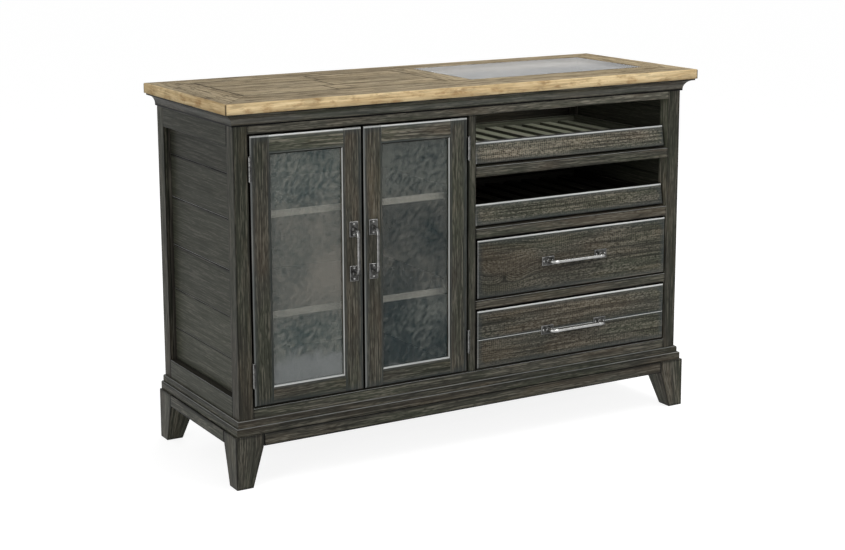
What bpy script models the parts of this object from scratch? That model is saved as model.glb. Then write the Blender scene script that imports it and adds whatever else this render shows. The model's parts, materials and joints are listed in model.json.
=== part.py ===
"""Wine server cabinet with two glazed doors, two slatted bottle trays, two drawers and a glazed display top.

Metres, +Z up, front towards -Y. The origin is on the floor under the middle of the top board.
"""

import math

import bmesh
import bpy

# Fit between pieces
FIT = 0.0003
EDGE_EASE = 0.0012
ARC_STEPS = 4
ROUND_SIDES = 16

# Case widths, left to right, and depth
POST_W = 0.0385
DOOR_BAY_W = 0.6275
MULLION_W = 0.0225
DRAWER_BAY_W = 0.631
CASE_D = 0.480

# Heights, floor to top
FOOT_H = 0.1045
BAND_H = 0.0305
LOWER_LEDGE_H = 0.0205
UPPER_LEDGE_H = 0.0165
BOTTOM_RAIL_SHOW_H = 0.0255
DRAWER_OPENING_H = 0.167
DRAWER_RAIL_H = 0.024
TRAY_RAIL_H = 0.0265
TRAY_OPENING_H = 0.138
TOP_RAIL_SHOW_H = 0.0205
CROWN_H = 0.034
TOP_T = 0.026

# Top board
TOP_SIDE_OVERHANG = 0.032
TOP_FRONT_OVERHANG = 0.034
TOP_BACK_OVERHANG = 0.007
TOP_EDGE_R = 0.0035
TOP_FRONT_BORDER_W = 0.128
TOP_BACK_BORDER_W = 0.083
TOP_LEFT_BORDER_W = 0.108
TOP_RIGHT_BORDER_W = 0.096
TOP_DIVIDER_W = 0.074
TOP_DIVIDER_SETBACK = 0.007
TOP_ROW_SEAM_shares = (0.30, 0.69)
TOP_BUTT_SEAM_shares = (0.45, 0.51, 0.54)
SEAM_W = 0.0022
SEAM_DEEP = 0.0014
TOP_GLASS_T = 0.006
TOP_GLASS_LEDGE = 0.009

# Crown and base mouldings, as reaches beyond the case
CROWN_REACH = 0.0285
CROWN_STEP_REACH = 0.0045
CROWN_STEP_H = 0.0035
CROWN_LIP_H = 0.0045
BAND_REACH = 0.018
LOWER_LEDGE_REACH = 0.012
UPPER_LEDGE_REACH = 0.006
LEDGE_EDGE_R = 0.004
BAND_EDGE_R = 0.003
BAND_T = 0.024

# Feet
FOOT_TOP_W = 0.076
FOOT_TOE_W = 0.045
FOOT_TOE_EASE = 0.003

# Posts, rails and panels
POST_D = 0.040
RAIL_T = 0.020
SIDE_RAIL_T = 0.030
SIDE_TOP_RAIL_SHOW_H = 0.0525
SIDE_BOTTOM_RAIL_SHOW_H = 0.050
SIDE_PANEL_RECESS = 0.018
SIDE_PANEL_T = 0.012
SIDE_PLANK_SEAM_shares = (0.14, 0.31, 0.50, 0.705, 0.885)
BACK_PANEL_T = 0.006
BACK_PANEL_SETBACK = 0.002
DIVIDER_T = 0.018
BOTTOM_T = 0.018
WEB_W = 0.045

# Shelves and their cleats
SHELF_T = 0.018
SHELF_SETBACK = 0.042
LOWER_SHELF_Z = 0.409
UPPER_SHELF_Z = 0.665
CLEAT_W = 0.012
CLEAT_H = 0.014

# Doors
DOOR_GAP = 0.004
DOORS_MEET_GAP = 0.0035
DOOR_T = 0.020
FACE_PROUD = 0.0015
FACE_EDGE_R = 0.006
STILE_W = 0.0525
DOOR_TOP_RAIL_W = 0.0465
DOOR_BOTTOM_RAIL_W = 0.0425
STICKING_W = 0.004
STICKING_DEEP = 0.006
GLASS_SEAT_DEEP = 0.008
GLASS_T = 0.003
GLASS_REBATE_W = 0.007

# Hinges
HINGE_H = 0.061
HINGE_INSET = 0.081
BARREL_R = 0.0038
PIN_R = 0.0016
BORE_R = 0.0020
KNUCKLES = 5
KNUCKLE_GAP = 0.0004
LEAF_SETBACK = 0.001
LEAF_INTO_BARREL = 0.0012
PIN_END_R = 0.0024

# Pulls
PULL_STANDOFF = 0.026
PULL_BAR_R = 0.0044
PULL_ELBOW_R = 0.0050
PULL_BEND_R = 0.015
PULL_COLLAR_R = 0.0057
PULL_COLLAR_W = 0.003
PULL_FOOT_R = 0.0066
PULL_FOOT_H = 0.0045
PULL_PLATE_L = 0.0395
PULL_PLATE_W = 0.0245
PULL_PLATE_T = 0.0026
PULL_PLATE_EASE = 0.0011
PULL_RIVET_R = 0.0028
PULL_RIVET_H = 0.0014
PULL_RIVET_TIP_R = 0.0006
PULL_RIVET_INSET = 0.0062
PULL_SIDES = 12
DOOR_PULL_SPAN = 0.114
DOOR_PULL_ABOVE_MIDDLE = 0.0245
DRAWER_PULL_SPAN = 0.174

# Drawers
DRAWER_FACE_T = 0.020
DRAWER_BOX_H = 0.125
BOX_SIDE_GAP = 0.006
BOX_BACK_GAP = 0.040
BOX_WALL_T = 0.012
BOX_FLOOR_RISE = 0.007
BOX_FLOOR_T = 0.006

# Trays
TRAY_FACE_H = 0.058
TRAY_FACE_RISE = 0.0047
TRAY_FACE_SETBACK = 0.008
TRAY_FACE_LEAN = 0.010
TRAY_FACE_T = 0.024
TRAY_BOX_H = 0.044
SLAT_PITCH = 0.095
SLAT_W = 0.050
SLAT_T = 0.010
SLAT_EASE = 0.002
BATTEN_W = 0.032
BATTEN_T = 0.009
BATTEN_INSET = 0.030
SLAT_LAP = 0.001

# Places that follow from the sizes
CASE_W = 2 * POST_W + DOOR_BAY_W + MULLION_W + DRAWER_BAY_W
LEFT_X = -CASE_W / 2
RIGHT_X = CASE_W / 2
DOOR_BAY_X0 = LEFT_X + POST_W
DOOR_BAY_X1 = DOOR_BAY_X0 + DOOR_BAY_W
DRAWER_BAY_X0 = DOOR_BAY_X1 + MULLION_W
DRAWER_BAY_X1 = DRAWER_BAY_X0 + DRAWER_BAY_W

TOP_D = CASE_D + TOP_FRONT_OVERHANG + TOP_BACK_OVERHANG
TOP_Y0 = -TOP_D / 2
TOP_Y1 = TOP_D / 2
FRONT_Y = TOP_Y0 + TOP_FRONT_OVERHANG
BACK_Y = TOP_Y1 - TOP_BACK_OVERHANG
FACE_Y = FRONT_Y - FACE_PROUD
BEHIND_RAILS_Y = FRONT_Y + RAIL_T + FIT
BEFORE_BACK_Y = BACK_Y - BACK_PANEL_SETBACK - BACK_PANEL_T - FIT

BAND_TOP_Z = FOOT_H + BAND_H
LOWER_LEDGE_TOP_Z = BAND_TOP_Z + LOWER_LEDGE_H
UPPER_LEDGE_TOP_Z = LOWER_LEDGE_TOP_Z + UPPER_LEDGE_H
OPENING_Z0 = UPPER_LEDGE_TOP_Z + BOTTOM_RAIL_SHOW_H
DRAWER_RAIL_Z0 = OPENING_Z0 + DRAWER_OPENING_H
UPPER_DRAWER_Z0 = DRAWER_RAIL_Z0 + DRAWER_RAIL_H
LOWER_TRAY_RAIL_Z0 = UPPER_DRAWER_Z0 + DRAWER_OPENING_H
LOWER_TRAY_Z0 = LOWER_TRAY_RAIL_Z0 + TRAY_RAIL_H
UPPER_TRAY_RAIL_Z0 = LOWER_TRAY_Z0 + TRAY_OPENING_H
UPPER_TRAY_Z0 = UPPER_TRAY_RAIL_Z0 + TRAY_RAIL_H
OPENING_Z1 = UPPER_TRAY_Z0 + TRAY_OPENING_H
CROWN_Z0 = OPENING_Z1 + TOP_RAIL_SHOW_H
TOP_UNDER_Z = CROWN_Z0 + CROWN_H
TOP_Z = TOP_UNDER_Z + TOP_T

DOOR_W = (DOOR_BAY_W - 2 * DOOR_GAP - DOORS_MEET_GAP) / 2
DOOR_Z0 = OPENING_Z0 + DOOR_GAP
DOOR_Z1 = OPENING_Z1 - DOOR_GAP
HINGE_Y = FACE_Y - BARREL_R - FIT
LEAF_T = (DOOR_GAP - KNUCKLE_GAP) / 2 - FIT
LEAF_D = FACE_Y + DOOR_T - LEAF_SETBACK - (HINGE_Y + BARREL_R + KNUCKLE_GAP)

DRAWER_BOX_Y0 = FACE_Y + DRAWER_FACE_T + FIT
DRAWER_BOX_D = BEFORE_BACK_Y - BOX_BACK_GAP - DRAWER_BOX_Y0
TRAY_FACE_Y = FRONT_Y + TRAY_FACE_SETBACK
TRAY_BOX_Y0 = TRAY_FACE_Y + TRAY_FACE_T + FIT
TRAY_BOX_D = BEFORE_BACK_Y - BOX_BACK_GAP - TRAY_BOX_Y0
RACK_ROOM = DRAWER_BAY_W - 2 * BOX_SIDE_GAP - 2 * BOX_WALL_T
SLATS_PER_TRAY = 1 + math.floor((RACK_ROOM - SLAT_W) / SLAT_PITCH)


# Materials, as linear colours; a lift share makes a piece paler or darker than the case
CASE_COLOUR = (0.060, 0.054, 0.046)
TOP_COLOUR = (0.34, 0.255, 0.165)
GLASS_COLOUR = (0.72, 0.78, 0.80)
PEWTER_COLOUR = (0.42, 0.41, 0.39)
CASE_LIFT_share = 1.0
MOULDING_LIFT_share = 0.95
FACE_LIFT_share = 1.15
INNER_LIFT_share = 1.35
SLAT_LIFT_share = 1.6
SMOOTH_ANGLE = math.radians(40)


def finish(name, colour, roughness, metallic=0.0, alpha=1.0):
    """A Principled material with one colour."""
    made = bpy.data.materials.new(name)
    made.use_nodes = True
    shader = made.node_tree.nodes["Principled BSDF"]
    shader.inputs["Base Color"].default_value = (*colour, 1.0)
    shader.inputs["Roughness"].default_value = roughness
    shader.inputs["Metallic"].default_value = metallic
    shader.inputs["Alpha"].default_value = alpha
    return made


def wood(name, lift=CASE_LIFT_share):
    """Charcoal stained wood; lift makes one board a little paler or darker than the next."""
    return finish(name, [channel * lift for channel in CASE_COLOUR], 0.48)


def plank(name):
    """Weathered tan wood of the top board."""
    return finish(name, TOP_COLOUR, 0.55)


def glass(name):
    """Thin pane of slightly grey glass."""
    return finish(name, GLASS_COLOUR, 0.06, alpha=0.35)


def pewter(name):
    """Polished dark nickel of the pulls and hinges."""
    return finish(name, PEWTER_COLOUR, 0.30, metallic=1.0)


# Mesh helpers
def mesh_of(name, bm, smooth=False):
    """The bmesh as a mesh with outward faces, shaded smooth across its round parts."""
    bmesh.ops.recalc_face_normals(bm, faces=bm.faces)
    mesh = bpy.data.meshes.new(name)
    bm.to_mesh(mesh)
    bm.free()
    if smooth:
        mesh.shade_smooth()
        mesh.set_sharp_from_angle(angle=SMOOTH_ANGLE)
    return mesh


def loft(name, rings, closed=False, smooth=False):
    """Skin over rings of equally many points; capped at both ends, or joined round when closed."""
    bm = bmesh.new()
    rows = [[bm.verts.new(p) for p in ring] for ring in rings]
    pairs = list(zip(rows, rows[1:]))
    if closed:
        pairs.append((rows[-1], rows[0]))
    for lower, upper in pairs:
        for i in range(len(lower)):
            j = (i + 1) % len(lower)
            bm.faces.new((lower[i], lower[j], upper[j], upper[i]))
    if not closed:
        bm.faces.new(rows[0])
        bm.faces.new(rows[-1])
    return mesh_of(name, bm, smooth)


def box_mesh(name, x, y, z):
    """Box between the pairs x, y and z."""
    low = [(x[0], y[0], z[0]), (x[1], y[0], z[0]), (x[1], y[1], z[0]), (x[0], y[1], z[0])]
    high = [(px, py, z[1]) for px, py, _ in low]
    return loft(name, [low, high])


def prism_x(name, outline, x0, x1):
    """Outline of (y, z) points carried from x0 to x1."""
    return loft(name, [[(x, y, z) for y, z in outline] for x in (x0, x1)])


def prism_y(name, outline, y0, y1):
    """Outline of (x, z) points carried from y0 to y1."""
    return loft(name, [[(x, y, z) for x, z in outline] for y in (y0, y1)])


def circle(radius, z, sides=ROUND_SIDES):
    """Points of a level circle about the Z axis."""
    turns = [2 * math.pi * i / sides for i in range(sides)]
    return [(radius * math.cos(t), radius * math.sin(t), z) for t in turns]


def rod(name, radius, z0, z1):
    """Upright cylinder about the Z axis."""
    return loft(name, [circle(radius, z0), circle(radius, z1)], smooth=True)


def tube(name, outer, inner, z0, z1):
    """Upright cylinder with a bore."""
    rings = [circle(outer, z0), circle(outer, z1), circle(inner, z1), circle(inner, z0)]
    return loft(name, rings, closed=True, smooth=True)


def ball(name, radius, centre, steps=6):
    """Sphere turned from a half circle, with small flats at its poles."""
    tip = math.pi / (4 * steps)
    rings = []
    for i in range(steps + 1):
        t = tip + (math.pi - 2 * tip) * i / steps
        ring = circle(radius * math.sin(t), -radius * math.cos(t), PULL_SIDES)
        rings.append([(centre[0] + x, centre[1] + y, centre[2] + z) for x, y, z in ring])
    return loft(name, rings, smooth=True)


def quarter(radius, steps=ARC_STEPS):
    """Pairs (inset, depth) round a quarter circle, from the side of an edge to its face."""
    turns = [math.pi / 2 * i / steps for i in range(steps + 1)]
    return [(radius * (1 - math.cos(t)), radius * (1 - math.sin(t))) for t in turns]


def combined(name, meshes, operation="UNION", smooth=False):
    """One mesh from several closed ones, joined to or cut from the first."""
    base = bpy.data.objects.new(name, meshes[0])
    bpy.context.scene.collection.objects.link(base)
    tools = []
    for mesh in meshes[1:]:
        tool = bpy.data.objects.new(mesh.name, mesh)
        bpy.context.scene.collection.objects.link(tool)
        step = base.modifiers.new(mesh.name, "BOOLEAN")
        step.operation = operation
        step.solver = "EXACT"
        step.object = tool
        tools.append(tool)
    depsgraph = bpy.context.evaluated_depsgraph_get()
    made = bpy.data.meshes.new_from_object(base.evaluated_get(depsgraph))
    made.name = name
    for spent in [base, *tools]:
        bpy.data.objects.remove(spent)
    if smooth:
        made.shade_smooth()
        made.set_sharp_from_angle(angle=SMOOTH_ANGLE)
    return made


# Placing
def add(name, mesh, surface, place=(0.0, 0.0, 0.0), carrier=None, ease=0.0):
    """A named object at its place, carried by an empty where it moves, with its arrises eased."""
    mesh.materials.clear()
    mesh.materials.append(surface)
    piece = bpy.data.objects.new(name, mesh)
    bpy.context.scene.collection.objects.link(piece)
    piece.location = place
    if carrier is not None:
        piece.parent = carrier
        piece.location = [p - c for p, c in zip(place, carrier.location)]
    if ease:
        bevel = piece.modifiers.new("eased", "BEVEL")
        bevel.width = ease
        bevel.segments = 1
        bevel.limit_method = "ANGLE"
    return piece


def board(name, x, y, z, surface, carrier=None, ease=EDGE_EASE):
    """Eased board between the pairs x, y and z, with its origin at its middle."""
    middle = [(a + b) / 2 for a, b in (x, y, z)]
    local = [(a - m, b - m) for (a, b), m in zip((x, y, z), middle)]
    return add(name, box_mesh(name, *local), surface, middle, carrier, ease)


def joint_empty(name, place):
    """Empty on a joint's axis, which carries the pieces that move there."""
    made = bpy.data.objects.new(name, None)
    bpy.context.scene.collection.objects.link(made)
    made.location = place
    return made


# Top board
def make_top():
    """Bordered board with a field of planks on the left and a glazed window on the right."""
    x0 = LEFT_X - TOP_SIDE_OVERHANG
    x1 = RIGHT_X + TOP_SIDE_OVERHANG
    field_x = (x0 + TOP_LEFT_BORDER_W, DOOR_BAY_X1 - TOP_DIVIDER_SETBACK)
    glass_x = (field_x[1] + TOP_DIVIDER_W, x1 - TOP_RIGHT_BORDER_W)
    window_y = (TOP_Y0 + TOP_FRONT_BORDER_W, TOP_Y1 - TOP_BACK_BORDER_W)
    make_top_border((x0, x1), field_x, glass_x, window_y)
    make_top_planks(field_x, window_y)
    make_top_glass(glass_x, window_y)


def top_blank(x):
    """Rounded-edge slab that the border is cut from."""
    rings = []
    profile = [(inset, TOP_UNDER_Z + deep) for inset, deep in reversed(quarter(TOP_EDGE_R))]
    profile += [(inset, TOP_Z - deep) for inset, deep in quarter(TOP_EDGE_R)]
    for inset, z in profile:
        near, far = TOP_Y0 + inset, TOP_Y1 - inset
        left, right = x[0] + inset, x[1] - inset
        rings.append([(left, near, z), (right, near, z), (right, far, z), (left, far, z)])
    return loft("top_blank", rings)


def make_top_border(x, field_x, glass_x, window_y):
    """Border boards with a through window for the planks and a rebated one for the glass."""
    over = TOP_T
    through = (TOP_UNDER_Z - over, TOP_Z + over)
    rebate = (TOP_Z - TOP_GLASS_T - FIT, TOP_Z + over)
    ledge_x = (glass_x[0] + TOP_GLASS_LEDGE, glass_x[1] - TOP_GLASS_LEDGE)
    ledge_y = (window_y[0] + TOP_GLASS_LEDGE, window_y[1] - TOP_GLASS_LEDGE)
    cuts = [
        box_mesh("plank_window", field_x, window_y, through),
        box_mesh("glass_rebate", glass_x, window_y, rebate),
        box_mesh("glass_window", ledge_x, ledge_y, through),
    ]
    mesh = combined("top_border", [top_blank(x), *cuts], "DIFFERENCE")
    add("top_border", mesh, plank("border_boards"))


def make_top_planks(field_x, window_y):
    """Three rows of planks with V seams between them and a butt joint in each row."""
    y0 = window_y[0] + FIT
    y1 = window_y[1] - FIT
    outline = [(y0, TOP_Z)]
    for share in TOP_ROW_SEAM_shares:
        y = y0 + share * (y1 - y0)
        outline += [(y - SEAM_W / 2, TOP_Z), (y, TOP_Z - SEAM_DEEP), (y + SEAM_W / 2, TOP_Z)]
    outline += [(y1, TOP_Z), (y1, TOP_UNDER_Z), (y0, TOP_UNDER_Z)]
    x = (field_x[0] + FIT, field_x[1] - FIT)
    field = prism_x("top_planks", outline, *x)
    edges = [y0] + [y0 + share * (y1 - y0) for share in TOP_ROW_SEAM_shares] + [y1]
    cuts = []
    for near, far, share in zip(edges, edges[1:], TOP_BUTT_SEAM_shares):
        across = x[0] + share * (x[1] - x[0])
        high = TOP_Z + SEAM_DEEP
        notch = [(across - SEAM_W, high), (across, TOP_Z - SEAM_DEEP), (across + SEAM_W, high)]
        cuts.append(prism_y("butt_joint", notch, near + SEAM_W / 2, far - SEAM_W / 2))
    add("top_planks", combined("top_planks", [field, *cuts], "DIFFERENCE"), plank("field_planks"))


def make_top_glass(glass_x, window_y):
    """Pane dropped into the rebate, flush with the boards."""
    x = (glass_x[0] + FIT, glass_x[1] - FIT)
    y = (window_y[0] + FIT, window_y[1] - FIT)
    board("top_glass", x, y, (TOP_Z - TOP_GLASS_T, TOP_Z), glass("display_glass"), ease=0.0)


# Mouldings that run round three sides of the case
def mitred_u(name, profile):
    """Profile of (reach, z) points carried along the left side, the front and the right side."""
    rings = []
    for corner in ("back_left", "front_left", "front_right", "back_right"):
        side = -1 if "left" in corner else 1
        ring = []
        for reach, z in profile:
            y = BACK_Y if "back" in corner else FRONT_Y - reach
            ring.append((side * (CASE_W / 2 + reach), y, z))
        rings.append(ring)
    return loft(name, rings)


def make_crown():
    """Cove moulding under the top, from a small step at its foot to a lip under the board."""
    step_z = CROWN_Z0 + CROWN_STEP_H
    lip_z = TOP_UNDER_Z - CROWN_LIP_H
    centre = CROWN_REACH
    profile = [(FIT, CROWN_Z0), (CROWN_STEP_REACH, CROWN_Z0), (CROWN_STEP_REACH, step_z)]
    steps = 2 * ARC_STEPS
    for i in range(1, steps + 1):
        t = math.pi / 2 * i / steps
        reach = centre - (centre - CROWN_STEP_REACH) * math.cos(t)
        profile.append((reach, step_z + (lip_z - step_z) * math.sin(t)))
    profile += [(CROWN_REACH, TOP_UNDER_Z - FIT), (FIT, TOP_UNDER_Z - FIT)]
    add("crown_moulding", mitred_u("crown_moulding", profile), wood("crown_wood", MOULDING_LIFT_share))


def make_base_ledges():
    """Two stepped ledges on top of the base band, with rounded upper arrises."""
    profile = [(FIT, BAND_TOP_Z + FIT), (LOWER_LEDGE_REACH, BAND_TOP_Z + FIT)]
    for inset, deep in quarter(LEDGE_EDGE_R):
        profile.append((LOWER_LEDGE_REACH - inset, LOWER_LEDGE_TOP_Z - deep))
    profile.append((UPPER_LEDGE_REACH, LOWER_LEDGE_TOP_Z))
    for inset, deep in quarter(LEDGE_EDGE_R):
        profile.append((UPPER_LEDGE_REACH - inset, UPPER_LEDGE_TOP_Z - deep))
    profile.append((FIT, UPPER_LEDGE_TOP_Z))
    add("base_ledges", mitred_u("base_ledges", profile), wood("ledge_wood", MOULDING_LIFT_share))


# Feet and base band
def foot_mesh():
    """Corner block at its outer corner, upright outside and tapered on its two inner faces."""
    def ring(width, z, inset=0.0):
        return [(inset, inset, z), (width, inset, z), (width, width, z), (inset, width, z)]

    rings = [ring(FOOT_TOE_W - FOOT_TOE_EASE, 0.0, FOOT_TOE_EASE), ring(FOOT_TOE_W, FOOT_TOE_EASE)]
    rings.append(ring(FOOT_TOP_W, FOOT_H))
    for inset, deep in quarter(BAND_EDGE_R):
        rings.append(ring(FOOT_TOP_W, BAND_TOP_Z - deep, inset))
    return loft("foot", rings)


def make_feet():
    """One foot under each corner, turned so that its upright faces look outwards."""
    left = LEFT_X - BAND_REACH
    right = RIGHT_X + BAND_REACH
    near = FRONT_Y - BAND_REACH
    corners = (
        ("foot_front_left", (left, near, 0.0), 0),
        ("foot_front_right", (right, near, 0.0), 90),
        ("foot_back_right", (right, BACK_Y, 0.0), 180),
        ("foot_back_left", (left, BACK_Y, 0.0), 270),
    )
    for name, place, turn in corners:
        foot = add(name, foot_mesh(), wood(name + "_wood"), place)
        foot.rotation_euler.z = math.radians(turn)


def band_profile(outer, inward):
    """Section (across, z) of a band board whose outer face is at outer; inward is +1 or -1."""
    section = [(outer, FOOT_H)]
    section += [(outer + inward * inset, BAND_TOP_Z - deep) for inset, deep in quarter(BAND_EDGE_R)]
    section += [(outer + inward * BAND_T, BAND_TOP_Z), (outer + inward * BAND_T, FOOT_H)]
    return section


def make_bands():
    """Boards between the feet: front, back and both sides."""
    inner = FOOT_TOP_W + FIT
    x0 = LEFT_X - BAND_REACH
    x1 = RIGHT_X + BAND_REACH
    y0 = FRONT_Y - BAND_REACH
    front = prism_x("band_front", band_profile(y0, 1), x0 + inner, x1 - inner)
    back = prism_x("band_back", band_profile(BACK_Y, -1), x0 + inner, x1 - inner)
    left = prism_y("band_left", band_profile(x0, 1), y0 + inner, BACK_Y - inner)
    right = prism_y("band_right", band_profile(x1, -1), y0 + inner, BACK_Y - inner)
    for mesh in (front, back, left, right):
        add(mesh.name, mesh, wood(mesh.name + "_wood"))


# Case frame
def make_posts():
    """Square posts at the four corners, from the feet to the top board."""
    z = (BAND_TOP_Z + FIT, TOP_UNDER_Z - FIT)
    sides = (("left", (LEFT_X, LEFT_X + POST_W)), ("right", (RIGHT_X - POST_W, RIGHT_X)))
    for side, x in sides:
        board("post_front_" + side, x, (FRONT_Y, FRONT_Y + POST_D), z, wood("post_wood"))
        board("post_back_" + side, x, (BACK_Y - POST_D, BACK_Y), z, wood("post_wood"))


def make_face_frame():
    """Top rail, bottom rail and the mullion between the two bays."""
    x = (LEFT_X + POST_W + FIT, RIGHT_X - POST_W - FIT)
    y = (FRONT_Y, FRONT_Y + RAIL_T)
    board("face_top_rail", x, y, (OPENING_Z1, TOP_UNDER_Z - FIT), wood("top_rail_wood"))
    board("face_bottom_rail", x, y, (BAND_TOP_Z + FIT, OPENING_Z0), wood("bottom_rail_wood"))
    z = (OPENING_Z0 + FIT, OPENING_Z1 - FIT)
    board("face_mullion", (DOOR_BAY_X1, DRAWER_BAY_X0), y, z, wood("mullion_wood"))


def make_web_frame(name, z0, height):
    """Level frame whose front member shows as a rail and whose sides carry a box."""
    x0 = DRAWER_BAY_X0 + FIT
    x1 = DRAWER_BAY_X1 - FIT
    y0 = FRONT_Y
    y1 = BEFORE_BACK_Y

    def ring(inset, z):
        near, far = y0 + inset, y1 - inset
        left, right = x0 + inset, x1 - inset
        return [(left, near, z), (right, near, z), (right, far, z), (left, far, z)]

    z1 = z0 + height
    eased = [ring(EDGE_EASE, z0), ring(0.0, z0 + EDGE_EASE), ring(0.0, z1 - EDGE_EASE)]
    rings = eased + [ring(EDGE_EASE, z1), ring(WEB_W, z1), ring(WEB_W, z0)]
    add(name, loft(name, rings, closed=True), wood(name + "_wood"))


def make_sides():
    """Rails and a recessed planked panel between the posts of each side."""
    y = (FRONT_Y + POST_D + FIT, BACK_Y - POST_D - FIT)
    top_z0 = CROWN_Z0 - SIDE_TOP_RAIL_SHOW_H
    bottom_z1 = UPPER_LEDGE_TOP_Z + SIDE_BOTTOM_RAIL_SHOW_H
    for side, x, inward in (("left", LEFT_X, 1), ("right", RIGHT_X, -1)):
        rail_x = sorted((x, x + inward * SIDE_RAIL_T))
        top_z = (top_z0, TOP_UNDER_Z - FIT)
        bottom_z = (BAND_TOP_Z + FIT, bottom_z1)
        board("side_top_rail_" + side, rail_x, y, top_z, wood("side_rail_wood"))
        board("side_bottom_rail_" + side, rail_x, y, bottom_z, wood("side_rail_wood"))
        make_side_panel(side, x, inward, y, (bottom_z1 + FIT, top_z0 - FIT))


def make_side_panel(side, x, inward, y, z):
    """Planks of unlike widths with V seams; the left one carries the shelf cleats inside."""
    outer = x + inward * SIDE_PANEL_RECESS
    inner = outer + inward * SIDE_PANEL_T
    outline = [(inner, z[0]), (outer, z[0])]
    for share in SIDE_PLANK_SEAM_shares:
        seam = z[0] + share * (z[1] - z[0])
        outline.append((outer, seam - SEAM_W / 2))
        outline.append((outer + inward * SEAM_DEEP, seam))
        outline.append((outer, seam + SEAM_W / 2))
    outline += [(outer, z[1]), (inner, z[1])]
    if side == "left":
        reach = DOOR_BAY_X0 + CLEAT_W
        for shelf_z in (UPPER_SHELF_Z, LOWER_SHELF_Z):
            cleat_z = shelf_z - FIT
            outline += [(inner, cleat_z), (reach, cleat_z)]
            outline += [(reach, cleat_z - CLEAT_H), (inner, cleat_z - CLEAT_H)]
    name = "side_panel_" + side
    add(name, prism_y(name, outline, *y), wood("side_panel_wood"))


def make_inside():
    """Back panel, floor, divider with cleats, and the two shelves of the door bay."""
    x = (LEFT_X + POST_W + FIT, RIGHT_X - POST_W - FIT)
    back_y = (BEFORE_BACK_Y + FIT, BACK_Y - BACK_PANEL_SETBACK)
    back_z = (BAND_TOP_Z + FIT, TOP_UNDER_Z - FIT)
    board("back_panel", x, back_y, back_z, wood("back_panel_wood"), ease=0.0)
    inner_y = (BEHIND_RAILS_Y, BEFORE_BACK_Y)
    floor_z = (OPENING_Z0 - BOTTOM_T, OPENING_Z0)
    board("case_floor", x, inner_y, floor_z, wood("floor_wood"), ease=0.0)
    make_divider(inner_y)
    shelf_x = (DOOR_BAY_X0 + FIT, DRAWER_BAY_X0 - DIVIDER_T - FIT)
    shelf_y = (FRONT_Y + SHELF_SETBACK, BEFORE_BACK_Y)
    for name, z in (("shelf_lower", LOWER_SHELF_Z), ("shelf_upper", UPPER_SHELF_Z)):
        board(name, shelf_x, shelf_y, (z, z + SHELF_T), wood("shelf_wood", INNER_LIFT_share))


def make_divider(inner_y):
    """Upright panel behind the mullion, with a cleat under the right end of each shelf."""
    x = (DRAWER_BAY_X0 - DIVIDER_T, DRAWER_BAY_X0)
    bodies = [box_mesh("divider", x, inner_y, (OPENING_Z0 + FIT, TOP_UNDER_Z - FIT))]
    cleat_x = (x[0] - CLEAT_W, (x[0] + x[1]) / 2)
    cleat_y = (FRONT_Y + SHELF_SETBACK, BACK_Y - POST_D)
    for shelf_z in (UPPER_SHELF_Z, LOWER_SHELF_Z):
        cleat_z = (shelf_z - FIT - CLEAT_H, shelf_z - FIT)
        bodies.append(box_mesh("cleat", cleat_x, cleat_y, cleat_z))
    add("centre_divider", combined("centre_divider", bodies), wood("divider_wood"))


# Hinges
def knuckle_span(index):
    """Lower and upper end of one knuckle, from the hinge's middle."""
    length = HINGE_H / KNUCKLES
    low = -HINGE_H / 2 + index * length
    return low + KNUCKLE_GAP / 2, low + length - KNUCKLE_GAP / 2


def leaf_plate(name, own, hand):
    """Leaf beside the axis, with tabs into its own knuckles and clearance round the others."""
    tab_y = BARREL_R - LEAF_INTO_BARREL
    clear_y = BARREL_R + KNUCKLE_GAP
    outline = [(clear_y + LEAF_D, -HINGE_H / 2)]
    for index in range(KNUCKLES):
        low, high = knuckle_span(index)
        near = tab_y if index in own else clear_y
        outline += [(clear_y, low), (near, low), (near, high), (clear_y, high)]
    outline.append((clear_y + LEAF_D, HINGE_H / 2))
    distinct = [p for i, p in enumerate(outline) if p != outline[i - 1]]
    near_x = hand * KNUCKLE_GAP / 2
    return prism_x(name, distinct, near_x, near_x + hand * LEAF_T)


def fixed_leaf_mesh(hand):
    """Leaf on the post side with the outer and middle knuckles, the pin and its domed ends."""
    own = range(0, KNUCKLES, 2)
    bodies = [rod("pin", PIN_R, -HINGE_H / 2, HINGE_H / 2)]
    bodies += [rod("knuckle", BARREL_R, *knuckle_span(i)) for i in own]
    for end in (-1, 1):
        bodies.append(ball("pin_end", PIN_END_R, (0.0, 0.0, end * HINGE_H / 2)))
    bodies.append(leaf_plate("leaf", own, hand))
    return combined("fixed_leaf", bodies, smooth=True)


def door_leaf_mesh(hand):
    """Leaf on the door side with the two bored knuckles between."""
    own = range(1, KNUCKLES, 2)
    bodies = [leaf_plate("leaf", own, hand)]
    bodies += [tube("knuckle", BARREL_R, BORE_R, *knuckle_span(i)) for i in own]
    return combined("door_leaf", bodies, smooth=True)


# Pulls
def pull_path(span):
    """Rows (y, z, radius) along a bar pull: out of the upper plate, round an elbow and down."""
    half = span / 2
    straight = half - PULL_BEND_R
    rows = [(-PULL_PLATE_T / 2, half, PULL_FOOT_R), (-PULL_FOOT_H, half, PULL_ELBOW_R)]
    for i in range(ARC_STEPS + 1):
        t = math.pi / 2 * i / ARC_STEPS
        y = -PULL_STANDOFF + PULL_BEND_R * (1 - math.sin(t))
        rows.append((y, straight + PULL_BEND_R * math.cos(t), PULL_ELBOW_R))
    for offset, radius in ((0, PULL_COLLAR_R), (1, PULL_COLLAR_R), (1, PULL_BAR_R)):
        rows.append((-PULL_STANDOFF, straight - PULL_COLLAR_W * offset, radius))
    mirrored = [(y, -z, radius) for y, z, radius in reversed(rows)]
    return rows + mirrored


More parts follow.
